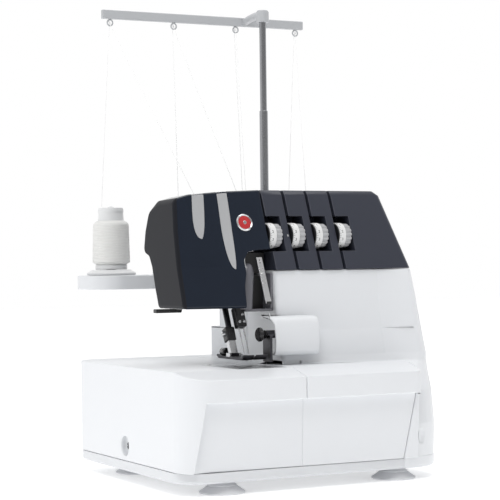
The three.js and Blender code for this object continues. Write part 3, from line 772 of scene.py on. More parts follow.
class OVERLOCK_OT_stage(MachineOperator):
    """Make the finishes, camera, lights and floor"""

    bl_idname = "overlock.stage"
    bl_label = "Stage"

    def build(self, context):
        stage = settings(context, "stage")
        mix_finishes(context)
        self.camera(context, stage)
        self.lights(context, stage)
        self.floor(stage)

    def camera(self, context, stage):
        """A camera in front of the machine and to its left, almost level."""
        data = bpy.data.cameras.new("camera")
        data.lens = stage.lens
        data.sensor_width = 36.0
        data.clip_end = 50.0
        camera = bpy.data.objects.new("camera", data)
        context.scene.collection.objects.link(camera)
        around, pitch, roll = (math.radians(angle) for angle in CAMERA_TURN)
        level = math.cos(pitch)
        forward = Vector((-math.sin(around) * level, math.cos(around) * level, math.sin(pitch)))
        right = Vector((math.cos(around), math.sin(around), 0.0))
        up = right.cross(forward)
        tilted_right = right * math.cos(roll) + up * math.sin(roll)
        tilted_up = up * math.cos(roll) - right * math.sin(roll)
        turn = Matrix((tilted_right, tilted_up, -forward)).transposed().to_4x4()
        camera.matrix_world = Matrix.Translation(CAMERA_PLACE) @ turn
        context.scene.camera = camera

    def lights(self, context, stage):
        """White surroundings, dimmer in front of the machine, and two large soft lights above."""
        world = bpy.data.worlds.new("white studio")
        studio = Surface("studio", world)
        toward = studio.node("ShaderNodeSeparateXYZ", {}, {"Vector": studio.node("ShaderNodeTexCoord")})
        depth = Value(studio, toward.socket.node.outputs["Y"])
        stops = [(0.0, stage.dim), (0.28, stage.dim * 1.15), (0.5, 1.0), (1.0, 1.0)]
        shades = studio.node("ShaderNodeValToRGB", {"stops": stops}, {"Fac": depth * 0.5 + 0.5})
        glow = studio.node("ShaderNodeBackground", {}, {"Color": shades, "Strength": 1.0})
        end = studio.tree.nodes.new("ShaderNodeOutputWorld")
        studio.tree.links.new(glow.socket, end.inputs["Surface"])
        context.scene.world = world
        context.scene.view_settings.view_transform = "Standard"
        for name, place, size, power in (
            ("key", (-0.6, -0.8, 1.5), 0.9, stage.key),
            ("top", (0.3, 0.2, 1.6), 1.0, stage.key * 0.6),
        ):
            data = bpy.data.lights.new(name, "AREA")
            data.shape = "DISK"
            data.size = size
            data.energy = power
            light = bpy.data.objects.new(name, data)
            context.scene.collection.objects.link(light)
            aim = Vector((0, 0, 0.2)) - Vector(place)
            light.matrix_world = Matrix.Translation(place) @ aim.to_track_quat("-Z", "Y").to_matrix().to_4x4()

    def floor(self, stage):
        """A plain floor."""
        surface = Surface("floor")
        cloud = surface.noise(1.5, 2.0)
        colour = tuple(stage.floor)
        varying = {
            "Base Color": surface.blend(shift(colour, 0.995), colour, cloud),
            "Roughness": 0.7 + cloud * 0.1,
        }
        shape = bmesh.new()
        bmesh.ops.create_grid(shape, x_segments=8, y_segments=8, size=6.0)
        data = bpy.data.meshes.new("floor")
        shape.to_mesh(data)
        shape.free()
        white = (1, 1, 1, 1)
        paint = surface.finish(varying, specular_ior_level=0.1, emission_color=white, emission_strength=0.3)
        data.materials.append(paint)
        floor = bpy.data.objects.new("floor", data)
        bpy.context.scene.collection.objects.link(floor)


# ---------- light casing ----------
class OVERLOCK_OT_casing(MachineOperator):
    """Build the light covers and the bottom pan"""

    bl_idname = "overlock.casing"
    bl_label = "Casing"

    def build(self, context):
        edge = settings(context, "casing").edge / MM
        slopes = (56, 89, 105, 117, 125, 151, 186)
        carried("left_cover_shell", "left_cover", "cover", edge)
        carried("looper_cover_shell", "looper_cover", "cover", edge, "looper_door")
        rear = looped(copy_of("rear_housing", True), slopes)
        piece("rear_housing_shell", rear, "cover", node="rear_housing", edge=edge)
        dent = turned([(2, -13), (6.5, -9), (8, -4), (8.4, 0), (8, 4), (6.5, 9), (2, 13)], 40)
        dent = placed(dent, seat((116.5, -119.2, 45), 8))
        front = carved("front", looped(copy_of("front_housing", True), slopes), dent)
        piece("front_housing_shell", front, "cover", node="front_housing", edge=edge)
        self.skirt()
        left, right = span("left_cover")
        panel = [(-116.12, 22.6), (-113, 22.6), (-116, 87.6), (-118.97, 87.6)]
        piece("panel_strip", prism(panel, "X", right.x - 1, right.x + 0.27), "cover")
        step = block((-12.6, -59.6, 116.8), (5.6, -56, 120.4))
        piece("throat_floor", joined(block((-29, -61, 115.6), (5, -42, 116.8)), step), "cover", edge=0.3)
        # The pan takes the darkened cover white: painted shade.
        carried("pan_shell", "base_pan", "pan", 0.8)
        head = placed(screw(4.2, 2.0), seat((left.x + 6.2, 20, 37), -90, "Y"))
        piece("cover_screw", head, "dark steel")

    def skirt(self):
        """The skirt that carries the right end down past the pan."""
        outline = rounded([(93, -114.5, 4), (150, -115, 48), (150, 108, 12), (93, 108, 2)], 16)
        inner = rounded([(94, -111.8, 2), (147.4, -112.2, 45), (147.4, 107, 10), (94, 107, 1)], 16)
        centre = Vector((121, 0))
        rings = []
        for z, draw in ((11.8, 0.985), (13.6, 0.997), (16, 1.0), (22.8, 1.0)):
            rings.append([Vector((*(centre + (p - centre) * draw), z)) for p in outline])
        for z in (22.8, 11.8):
            rings.append([Vector((p.x, p.y, z)) for p in inner])
        wall = skin([*rings, rings[0]], False)
        bmesh.ops.remove_doubles(wall, verts=wall.verts, dist=0.001)
        wall = carved("skirt", wall, block((80, -110, 5), (100, 120, 30)))
        piece("end_skirt", wall, "cover", edge=0.5)


# ---------- face cover ----------
# Stations of the face cover: place along X, crown height, and the front line's Y at four heights.
HEAD_X = (-117, -113, -100, -60, -16.5)
HEAD_TOP = (281.5, 284, 287.5, 291, 293)
HEAD_FRONT = (
    (-28, -28.5, -28, -24, -17.5),
    (-30, -31, -32.5, -34, -33.5),
    (-37, -38, -40, -45, -50),
    (-50, -51.5, -54, -59, -64),
)
HEAD_LOW = 174


def head_shrink(x):
    """How much the outline draws in towards the rounded left end."""
    depth = min(x - HEAD_X[0], 4.0)
    return 4.0 - math.sqrt(16.0 - (4.0 - depth) ** 2)


def head_outline(x, wall=0.0, steps=8):
    """Side outline of the face cover at a station, as (y, z) points."""
    inset = head_shrink(x) + wall
    top = float(np.interp(x, HEAD_X, HEAD_TOP)) - wall
    crown, brow, cheek, lip = (float(np.interp(x, HEAD_X, line)) for line in HEAD_FRONT)
    corners = [
        (lip + inset, HEAD_LOW + inset, 2.5), (14 - inset, HEAD_LOW + inset, 2.5), (21.5 - inset, 194, 8),
        (29 - inset, 216, 8), (36 - inset, 227, 8), (49.5 - inset, 231.5, 6), (45 - inset, 252, 12),
        (36 - inset, top - 11, 12), (17 - inset, top - 1.5 - inset, 10), (crown + inset, top - inset, 3),
        (brow + inset, 251, 20), (cheek + inset, 215, 20),
    ]
    return rounded(corners, steps)


def head_front(x, z):
    """Y of the face cover's front at a place and height."""
    points = head_outline(x)
    front = sorted((p.y, p.x) for p in points[-28:] + points[:4])
    heights, depths = zip(*front)
    return float(np.interp(z, heights, depths))


def head_loft(first, last, wall, steps=8):
    """The face cover's form from one place along X to another."""
    near = [HEAD_X[0] + 4 * (1 - math.cos(math.pi * k / 16)) for k in range(9)]
    far = [HEAD_X[0] + 4 + (last - HEAD_X[0] - 4) * k / 30 for k in range(1, 31)]
    places = [x for x in near + far if x >= first]
    rings = [[Vector((x, p.x, p.y)) for p in head_outline(x, wall, steps)] for x in places]
    return skin(rings)


def head_skin(x, z, rise):
    """A point lying rise millimetres above the face cover's front."""
    lean = (head_front(x, z + 0.2) - head_front(x, z - 0.2)) / 0.4
    reach = rise / math.hypot(1, lean)
    return Vector((x, head_front(x, z) - reach, z + reach * lean))


def stripe(tip, right, width, rise):
    """A stripe from the crown down to its tip at a height; right(t) is its right edge, t running down it."""
    rows, columns = 60, 8
    grid = []
    for i in range(rows + 1):
        t = 0.999 * (i / rows) ** 1.3
        across = width * (1 - t**4) ** 0.55
        line = []
        for j in range(columns + 1):
            x = right(t) - across * (1 - j / columns)
            top = float(np.interp(x, HEAD_X, HEAD_TOP)) - 0.45
            line.append((x, top - (top - tip) * t))
        grid.append(line)
    shape = bmesh.new()
    front = [[shape.verts.new(head_skin(x, z, rise)) for x, z in line] for line in grid]
    back = [[shape.verts.new(head_skin(x, z, -0.4)) for x, z in line] for line in grid]
    for i in range(rows):
        for j in range(columns):
            shape.faces.new((front[i][j], front[i + 1][j], front[i + 1][j + 1], front[i][j + 1]))
            shape.faces.new((back[i][j], back[i][j + 1], back[i + 1][j + 1], back[i + 1][j]))
        shape.faces.new((front[i][0], back[i][0], back[i + 1][0], front[i + 1][0]))
        shape.faces.new((front[i][-1], front[i + 1][-1], back[i + 1][-1], back[i][-1]))
    for j in range(columns):
        shape.faces.new((front[0][j], front[0][j + 1], back[0][j + 1], back[0][j]))
        shape.faces.new((front[-1][j], back[-1][j], back[-1][j + 1], front[-1][j + 1]))
    bmesh.ops.recalc_face_normals(shape, faces=shape.faces)
    return shape


class OVERLOCK_OT_face_cover(MachineOperator):
    """Build the glossy face cover with its stripes and badge"""

    bl_idname = "overlock.face_cover"
    bl_label = "Face cover"

    def build(self, context):
        head = settings(context, "head")
        wall = head.wall / MM
        right = HEAD_X[-1]
        corners = [(-52.6, 160, 0.5), (-52.4, 178, 6), (-51, 196, 6), (-47.4, 208, 6), (-47.4, 222, 5)]
        corners += [(-42, 229.5, 5), (-33, 231.5, 4), (-5, 233.5, 1), (-5, 160, 1)]
        recess = rounded(corners, 5)
        shell = carved(
            "face cover",
            head_loft(HEAD_X[0], right, 0.0),
            head_loft(HEAD_X[0] + wall, right + 0.01, wall, 5),
            block((right - 1.2, -18, 182), (right + 1.2, 26, 262)),
            prism(recess, "Y", -80, -8),
            block((-84.4, -46, 160), (-10, 10, 182)),
            block((-91, -10, 160), (-79.5, 40, 200)),
        )
        made = piece("face_shell", shell, "face", node="face_cover", edge=0.7, sharp=40)
        made.data.materials.append(FINISHES["end"])
        for polygon in made.data.polygons:
            if polygon.normal.x < -0.45:
                polygon.material_index = 1
        rise = head.stripe_rise / MM
        short = stripe(243.0, lambda t: -83.8 - 1.6 * t - 1.5 * t**3 - 2.4 * t**8, 13.3, rise)
        long = stripe(212.5, lambda t: -57.0 + 7.6 * t - 7.0 * t**1.3 - 1.4 * t**10, 11.6, rise)
        rim = [(-47.2, 214), (-46.8, 223), (-42.2, 229.4), (-36, 231.0)]
        line = smooth_line([(x, head_front(x, z) + 0.9, z) for x, z in rim], 8)
        piece("recess_rim", tube(line, 0.6, 12), "stripe")
        piece("stripe_short", short, "stripe")
        piece("stripe_long", long, "stripe")
        self.badge(head.badge_radius / MM)

    def badge(self, radius):
        """A silver ring round a plain enamel dome, lying on the front near its right end."""
        x, z = -40.4, 259.3
        low, high = head_front(x, z - 6), head_front(x, z + 6)
        tilt = math.degrees(math.atan2(high - low, 12))
        spot = seat((x, (low + high) / 2, z), 90 - tilt)
        rim = [(radius - 1.9, -0.6), (radius, -0.6), (radius, 0.5), (radius - 0.8, 1.2), (radius - 1.9, 0.7)]
        inner = radius - 1.7
        ring = turned([*rim, rim[0]], 56)
        dome = turned([(inner, -0.5), (inner, 0.35), (inner * 0.7, 0.8), (inner * 0.35, 1.0), (0, 1.05)], 48)
        stud = turned([(1.9, 0.7), (1.9, 1.1), (1.5, 1.3), (0, 1.3)], 32)
        piece("badge_ring", placed(ring, spot), "steel")
        piece("badge_centre", placed(dome, spot), "enamel")
        piece("badge_stud", placed(stud, spot), "steel")


# ---------- tension housing and dials ----------
DIAL_MIDDLES = tuple(middle(f"tension_dial_{i}") for i in (1, 2, 3, 4))


class OVERLOCK_OT_tension_housing(MachineOperator):
    """Build the dark tension housing and its printed marks"""

    bl_idname = "overlock.tension_housing"
    bl_label = "Tension housing"

    def build(self, context):
        carried("tension_shell", "tension_housing", "housing", 0.6)
        high = span("tension_housing")[1]
        slope = 33 / 82
        lean = math.degrees(math.atan(slope))
        marks = []
        for centre in DIAL_MIDDLES[1:]:
            x, z = centre.x - 10.6, centre.z
            y = -14 - (high.z - z) * slope
            arrow = [(-1.1, -1.3), (1.0, 0), (-1.1, 1.3)]
            marks.append(placed(prism(arrow, "Y", -0.18, 0.5), seat((x, y, z), -lean)))
        piece("index_marks", joined(*marks), "white print")


class OVERLOCK_OT_tension_dials(MachineOperator):
    """Build the four numbered tension dials"""

    bl_idname = "overlock.tension_dials"
    bl_label = "Tension dials"

    def build(self, context):
        tension = settings(context, "tension")
        low, high = span("tension_dial_1")
        radius = (high.z - low.z) / 2 - 1.6
        half = (high.x - low.x) / 2
        for i, centre in enumerate(DIAL_MIDDLES, 1):
            spot = seat((centre.x - half, centre.y, centre.z))
            body = f"dial_{i}"
            cheek = turned([(3, 0), (radius - 1.6, 0), (radius - 1.0, 0.7), (3, 0.7)], 72, "X")
            piece(f"dial_cheek_{i}", placed(cheek, spot), "black", body)
            rim = radius - 0.6
            profile = [(4, 0.7), (rim, 0.7), (radius, 1.2), (radius, half - 0.5), (rim, half), (4, half)]
            ring = turned(profile, 96, "X")
            piece(f"dial_ring_{i}", placed(ring, spot), "ring", body, node=f"tension_dial_{i}")
            wheel = self.wheel(radius - 0.7, half - 0.05, tension.flutes)
            right = (centre.x + 0.05, centre.y, centre.z)
            piece(f"dial_wheel_{i}", placed(wheel, seat(right)), "wheel", body, sharp=60)
            marks = self.marks(radius, tension.numeral / MM)
            piece(f"dial_marks_{i}", placed(marks, spot), "print", body)

    def wheel(self, radius, width, flutes):
        """A finger wheel with deep rounded scallops round its rim, starting at X = 0."""

        def scallop(angle, height):
            return -1.5 * (0.5 - 0.5 * math.cos(flutes * angle)) ** 1.6 if height > 0.7 else -0.2

        profile = [
            (4, 0), (radius - 0.6, 0), (radius - 0.2, 0.4), (radius - 0.1, 0.8), (radius, 1.6),
            (radius, width - 2.2), (radius - 0.5, width - 1.0), (radius - 1.6, width - 0.2),
            (radius - 2.6, width), (5, width),
        ]
        return turned(profile, flutes * 12, "X", wave=scallop)

    def marks(self, radius, height):
        """Ten numbers and the strokes between them, wrapped round the ring."""
        shapes = []
        steps = 40
        for k in range(steps):
            if k % 4:
                mark = block((0.6, -0.12, radius - 0.05), (1.9 if k % 2 else 2.4, 0.12, radius + 0.06))
            else:
                mark = self.numeral(str(k // 4), height, radius)
            shapes.append(placed(mark, Matrix.Rotation(2 * math.pi * k / steps, 4, "X")))
        return joined(*shapes)

    def numeral(self, text, height, radius):
        """One number, lying on the top of the ring and read from the front."""
        data = bpy.data.curves.new("numeral", "FONT")
        data.body = text
        data.size = height * 1.35
        data.extrude = 0.06
        data.resolution_u = 3
        data.align_x = "CENTER"
        data.align_y = "CENTER"
        holder = bpy.data.objects.new("numeral", data)
        bpy.context.scene.collection.objects.link(holder)
        bpy.context.view_layer.update()
        shape = bmesh.new()
        evaluated = holder.evaluated_get(bpy.context.evaluated_depsgraph_get())
        shape.from_mesh(evaluated.to_mesh())
        evaluated.to_mesh_clear()
        bpy.data.objects.remove(holder)
        bpy.data.curves.remove(data)
        for vert in shape.verts:
            bend = vert.co.y / radius
            reach = radius + vert.co.z
            vert.co = Vector((3.6 + vert.co.x, reach * math.sin(bend), reach * math.cos(bend)))
        return shape


# ---------- threading recess ----------
class OVERLOCK_OT_thread_path(MachineOperator):
    """Build the threading recess with its guide plate"""

    bl_idname = "overlock.thread_path"
    bl_label = "Threading recess"

    def build(self, context):
        low, high = span("thread_panel")
        back = block((low.x + 2, high.y - 3, low.z + 2), (high.x, high.y, high.z))
        left, right = low.x + 0.4, high.x - 0.3
        plan = rounded([(left, -41, 3), (right, -41, 2), (right, high.y, 1), (left, high.y, 1)], 4)
        floor = prism(plan, "Z", low.z, low.z + 2.6)
        # The back wall is near-black: painted shade at the back of the threading recess.
        piece("recess_back", back, "recess painted shade", node="thread_panel", edge=0.5)
        piece("recess_floor", floor, "recess", edge=0.4)
        piece("recess_cheek", self.cheek(low), "recess", edge=0.3, sharp=50)
        side = block((high.x - 2.6, -40, low.z + 2.8), (high.x - 0.2, high.y - 3.2, 208))
        piece("recess_side", side, "recess", edge=0.5)
        plate, far = span("thread_guide_plate")
        carried("guide_plate", "thread_guide_plate", "bright steel", 0.25)
        corner = plate + Vector((0.3, -0.4, -0.6))
        tip = block(corner, (far.x - 0.3, corner.y + 3.0, corner.z + 3.0))
        piece("guide_tip", tip, "black", edge=0.3)

    def cheek(self, low):
        """The curved shell at the recess's left: round in plan, drawn in towards its top."""
        rings = []
        for k in range(37):
            share = k / 36
            z = low.z + 2.4 + 46 * share
            crown = math.sqrt(max(0.0, 1 - max(0.0, (share - 0.72) / 0.285) ** 2))
            reach = 8.4 * (0.35 + 0.65 * crown)
            centre = Vector((low.x + 1.8 + 4.0 * share, -35.0 + 2.5 * share, z))
            angles = [math.radians(-115 + 190 * j / 20) for j in range(21)]
            around = [(angle, 1.0, 1.15) for angle in angles]
            around += [(angle, 0.8, 0.9) for angle in reversed(angles)]
            ring = [Vector((wide * math.sin(a), -deep * math.cos(a), 0)) * reach for a, wide, deep in around]
            rings.append([centre + point for point in ring])
        return skin(rings)


# ---------- needles and presser ----------
def on_bar(axis, x, low, high, radius, sides=40, chamfer=0.3):
    """A round bar lying along the needle's or presser's axis."""
    return placed(rod(radius, high - low, "Z", (x, 0, (low + high) / 2), sides, chamfer), axis)


class OVERLOCK_OT_needles(MachineOperator):
    """Build the needle bar, its clamp and the two needles"""

    bl_idname = "overlock.needles"
    bl_label = "Needles"

    def build(self, context):
        blade = settings(context, "stitch").needle_radius / MM
        piece("needle_rod", on_bar(NEEDLE_AXIS, -52, 36.5, 124.5, 3.5), "steel", "needle", node="needle_bar")
        clamp = block((-57, -4.5, 15), (-47, 4.5, 36))
        piece("needle_holder", placed(clamp, NEEDLE_AXIS), "black", "needle", node="needle_clamp", edge=0.8)
        screws = []
        for x, z in ((-54.5, 19.5), (-49.6, 19.5), (-50.0, 27.0)):
            screws.append(placed(screw(1.5, 1.0), seat((x, -4.4, z), 90)))
        piece("needle_screws", placed(joined(*screws), NEEDLE_AXIS), "steel", "needle")
        for name, x in (("left", -54.5), ("right", -49.5)):
            shank = blade * 1.7
            profile = [(0.05, -13.9), (blade * 0.7, -12.4), (blade, -10.5), (blade, 3.5)]
            profile += [(shank, 5.5), (shank, 14.6), (0.05, 14.7)]
            needle = placed(turned(profile, 24, "Z", (x, 0, 0)), NEEDLE_AXIS)
            piece(f"needle_{name}_blade", needle, "steel", "needle", node=f"needle_{name}")


class OVERLOCK_OT_presser(MachineOperator):
    """Build the presser bar with its spring, foot and lifting lever"""

    bl_idname = "overlock.presser"
    bl_label = "Presser"

    def build(self, context):
        bar = joined(
            rod(3.0, 113, "Z", (PRESSER_X, 0, 48.5)),
            rod(6.4, 3.5, "Z", (PRESSER_X, 0, 36), 48, 0.5),
        )
        piece("presser_rod", placed(bar, PRESSER_AXIS), "dark steel", "presser", node="presser_bar")
        shank = block((-66, -3, -27), (-58, 3, -6))
        piece("foot_shank", placed(shank, PRESSER_AXIS), "steel", "presser", edge=0.8)
        holder = block((-67.2, -4.6, -13), (-57.4, 4.6, 1))
        piece("shank_holder", placed(holder, PRESSER_AXIS), "black", "presser", edge=0.9)
        head = placed(screw(2.6, 3.0), seat((-67.0, 0, -5), -90, "Y"))
        piece("holder_screw", placed(head, PRESSER_AXIS), "steel", "presser")
        self.spring()
        self.foot()
        carried("lifting_lever", "presser_lever", "black", 0.7, "presser_lever")

    def spring(self):
        """The presser spring: five turns round the bar."""
        line = []
        turns, steps, radius = 5, 24, 5.2
        for k in range(turns * steps + 1):
            angle = 2 * math.pi * k / steps
            height = 39.2 + 15.4 * k / (turns * steps)
            line.append(Vector((PRESSER_X + radius * math.cos(angle), radius * math.sin(angle), height)))
        coil = placed(tube(line, 0.8, 8), PRESSER_AXIS)
        piece("presser_coil", coil, "steel", node="presser_spring")

    def foot(self):
        """The presser foot: a long sole with a needle slot, turned-up toes and two ears."""
        sole = rounded(
            [
                (-82, 128.4, 0.4), (-77.5, 124, 3), (-26, 124, 3), (-21.5, 126.4, 0.4), (-22, 128, 0.4),
                (-28, 126.6, 2), (-76, 126.6, 2), (-80.6, 129.2, 0.4),
            ],
            4,
        )
        slab = carved(
            "sole",
            prism(sole, "X", -68.6, -42),
            block((-56.6, -63, 120), (-46, -51.4, 128)),
            block((-56.6, -86, 120), (-54.4, -66, 130)),
            block((-43.6, -70, 120), (-41, -50, 128)),
        )
        ears = [block((x, -51, 125.4), (x + 1.9, -43, 130.0)) for x in (-68.6, -57.5)]
        piece("foot_sole", slab, "dark steel", "presser_foot", node="presser_foot", edge=0.35)
        heel = turned([(3.2, 0), (4.0, 0.8), (4.0, 9), (3.4, 10), (2.4, 10.4)], 40, "Y", (-64, -36, 130.6))
        piece("foot_heel", heel, "knob", "presser_foot")
        piece("foot_ears", joined(*ears), "steel", "presser_foot", edge=0.5)
        pin = rod(0.9, 10.4, "X", (-62.1, -46.9, 127.6), 20)
        piece("foot_pin", pin, "dark steel", "presser_foot")


# ---------- knives ----------
class OVERLOCK_OT_knives(MachineOperator):
    """Build the knife guard, the two knives and the knife's knob"""

    bl_idname = "overlock.knives"
    bl_label = "Knives"

    def build(self, context):
        edge = settings(context, "casing").guard_edge / MM
        piece("guard_shell", self.guard(), "cover", node="knife_guard", edge=edge)
        carried("knife_arm", "upper_knife", "dark steel", 0.4, "upper_knife")
        carried("fixed_knife", "lower_knife", "flat steel", 0.2)
        low, high = span("knife_knob")
        centre = (low + high) / 2
        reach = (high.z - low.z) / 2
        profile = [
            (2.0, 0), (reach - 1.2, 0), (reach, 1.0), (reach, 3.6), (reach - 1.4, 4.6), (3.2, 5.2),
            (3.0, 6.6), (4.2, 7.4), (4.2, 8.0), (2.0, 8.2),
        ]
        knob = turned(profile, 128, "X", (low.x, centre.y, centre.z), fluted(16, 0.35, 0.5, 4))
        piece("knife_knob_grip", knob, "knob", "knife_knob", node="knife_knob")

    def guard(self):
        """The knife guard: a shell with a flat front, rounded above and below, and a lip at its top left."""
        low, high = span("knife_guard")
        back, front = high.y - 0.2, low.y + 3.6
        wall = 2.4
        outer = [(back, low.z, 0.5), (front + 2.5, low.z, 6), (front, 145, 60)]
        outer += [(front + 4, high.z, 9), (back, high.z, 0.5)]
        inner = []
        for y, z, radius in outer:
            level = min(max(z, low.z + wall), high.z - wall)
            inner.append((y + (wall if y < back else 2), level, max(radius - wall, 0.4)))
        shell = prism([(p.x, p.y) for p in rounded(outer, 10)], "X", low.x, high.x)
        hollow = prism([(p.x, p.y) for p in rounded(inner, 10)], "X", low.x - 1, high.x - 2.5)
        out, cut_back = low.x - 1, low.x + 3.4
        lip = [(out, high.z - 9), (out, low.z - 1), (cut_back, low.z - 1), (cut_back, high.z - 9)]
        slant = prism([*lip, (low.x + 0.4, high.z - 1.5)], "Y", front - 5, back + 5)
        return carved("guard", shell, hollow, slant)


class OVERLOCK_OT_bed_parts(MachineOperator):
    """Build the needle plate, feed dog, loopers and lamp"""

    bl_idname = "overlock.bed_parts"
    bl_label = "Bed parts"

    def build(self, context):
        carried("stitch_plate", "needle_plate", "flat steel", 0.3)
        piece("feed_rows", self.feed(), "steel", "feed", node="feed_dog")
        for side in ("lower", "upper"):
            node = f"{side}_looper"
            carried(f"{side}_looper_blade", node, "steel", 0.3, node)
        carried("lamp_cover", "lamp_lens", "lens", 0.4)
        low, high = span("needle_plate")
        screws = []
        for x, y in ((low.x + 5, low.y + 6), (low.x + 5, high.y - 6)):
            screws.append(placed(screw(2.6, 0.7), seat((x, y, high.z - 0.25))))
        piece("plate_screws", joined(*screws), "steel")

    def feed(self):
        """Two toothed rows on a bridge and a stem."""
        teeth = []
        count = 14
        for k in range(count):
            y = -75 + 28 * k / count
            teeth += [(y, 115.4), (y + 1.6, 116.6)]
        row = [(-75, 107.5), *teeth, (-47, 115.4), (-47, 107.5)]
        rows = [prism(row, "X", x, x + 4) for x in (-65, -43.5)]
        bridge = block((-65, -50, 103), (-39.5, -47, 109))
        return joined(*rows, bridge, block((-56, -48, 103), (-50, -8, 107)))


# ---------- drive ----------
class OVERLOCK_OT_drive(MachineOperator):
    """Build the frame, motor, belt, pulleys, shaft and handwheel"""

    bl_idname = "overlock.drive"
    bl_label = "Drive"

    def build(self, context):
        carried("cast_frame", "frame", "cast", 0.9)
        carried("motor_can", "motor", "motor", 0.8)
        carried("toothed_belt", "drive_belt", "belt", 0.3)
        carried("rotor_pulley", "motor_pulley", "steel", 0.3, "motor_rotor")
        carried("shaft_wheel", "shaft_pulley", "black", 0.4, "drive")
        low, high = span("main_shaft")
        centre = (low + high) / 2
        shaft = rod((high.z - low.z) / 2, high.x - low.x, "X", centre, 48, 0.6)
        piece("drive_shaft", shaft, "steel", "drive", node="main_shaft")
        self.handwheel()

    def handwheel(self):
        """The handwheel: a ribbed rim, a dished web and a hub."""
        low, high = span("handwheel")
        radius = (high.z - low.z) / 2
        centre = Vector((low.x, (low.y + high.y) / 2, (low.z + high.z) / 2))
        profile = [
            (5.4, 0), (16, 0), (radius - 3, 1), (radius - 0.6, 3), (radius, 4.4), (radius, 11.6),
            (radius - 0.8, 13.8), (radius - 3, 15.2), (radius - 6.5, 15.2), (radius - 8.5, 13.6),
            (radius - 10, 11), (13, 10.6), (10.5, 12), (9.6, 14), (5.4, 14),
        ]

        ribs, rib_depth = 48, 0.7
        rings = []
        for reach, height in profile:
            depth = rib_depth if reach == radius else 0.0
            wave = fluted(ribs, depth, 4, 12)
            angles = [2 * math.pi * i / (ribs * 6) for i in range(ribs * 6)]
            wide = [(a, reach + wave(a, height)) for a in angles]
            rings.append([Vector((height, r * math.cos(a), r * math.sin(a))) for a, r in wide])
        shape = skin([*rings, rings[0]], False)
        bmesh.ops.remove_doubles(shape, verts=shape.verts, dist=0.001)
        piece("hand_wheel", placed(shape, seat(centre)), "housing", "drive", node="handwheel")


class OVERLOCK_OT_controls(MachineOperator):
    """Build the stitch dial, switch and socket at the right end"""

    bl_idname = "overlock.controls"
    bl_label = "Controls"

    def build(self, context):
        low, high = span("stitch_dial")
        radius = (high.z - low.z) / 2
        centre = (low + high) / 2
        face = high.x - 6.4
        profile = [
            (4, 0), (radius - 0.8, 0), (radius, 1), (radius, 4.8), (radius - 1.2, 6.2), (radius - 4, 6.4),
            (4, 6.0),
        ]
        knob = turned(profile, 216, "X", (face, centre.y, centre.z), fluted(36, 0.4, 0.9, 5))
        stem = rod(4, face - low.x, "X", ((low.x + face) / 2, centre.y, centre.z))
        piece("stitch_knob", joined(knob, stem), "wheel", "stitch_dial", node="stitch_dial")
        carried("rocker", "power_switch", "black", 0.8, "power_switch")
        carried("inlet_shell", "power_inlet", "black", 0.5)
        inlet_low, inlet_high = span("power_inlet")
        pins = []
        for y in (inlet_low.y + 7, inlet_high.y - 7):
            pins.append(rod(0.9, 6, "X", (inlet_low.x + 6, y, (inlet_low.z + inlet_high.z) / 2), 20))
        piece("inlet_pins", joined(*pins), "steel")


# ---------- thread stand ----------
EYELETS_X = (-108.9, -33.2, 43.1, 119.2)
EYELET_Z = 477.5
THREAD_ENDS = ((-64, 31, 285), (-4, 58, 294.2), (8, 60, 294.2), (80, 58, 294.2))
THREAD_STARTS = (-9, 5, 9, -9)


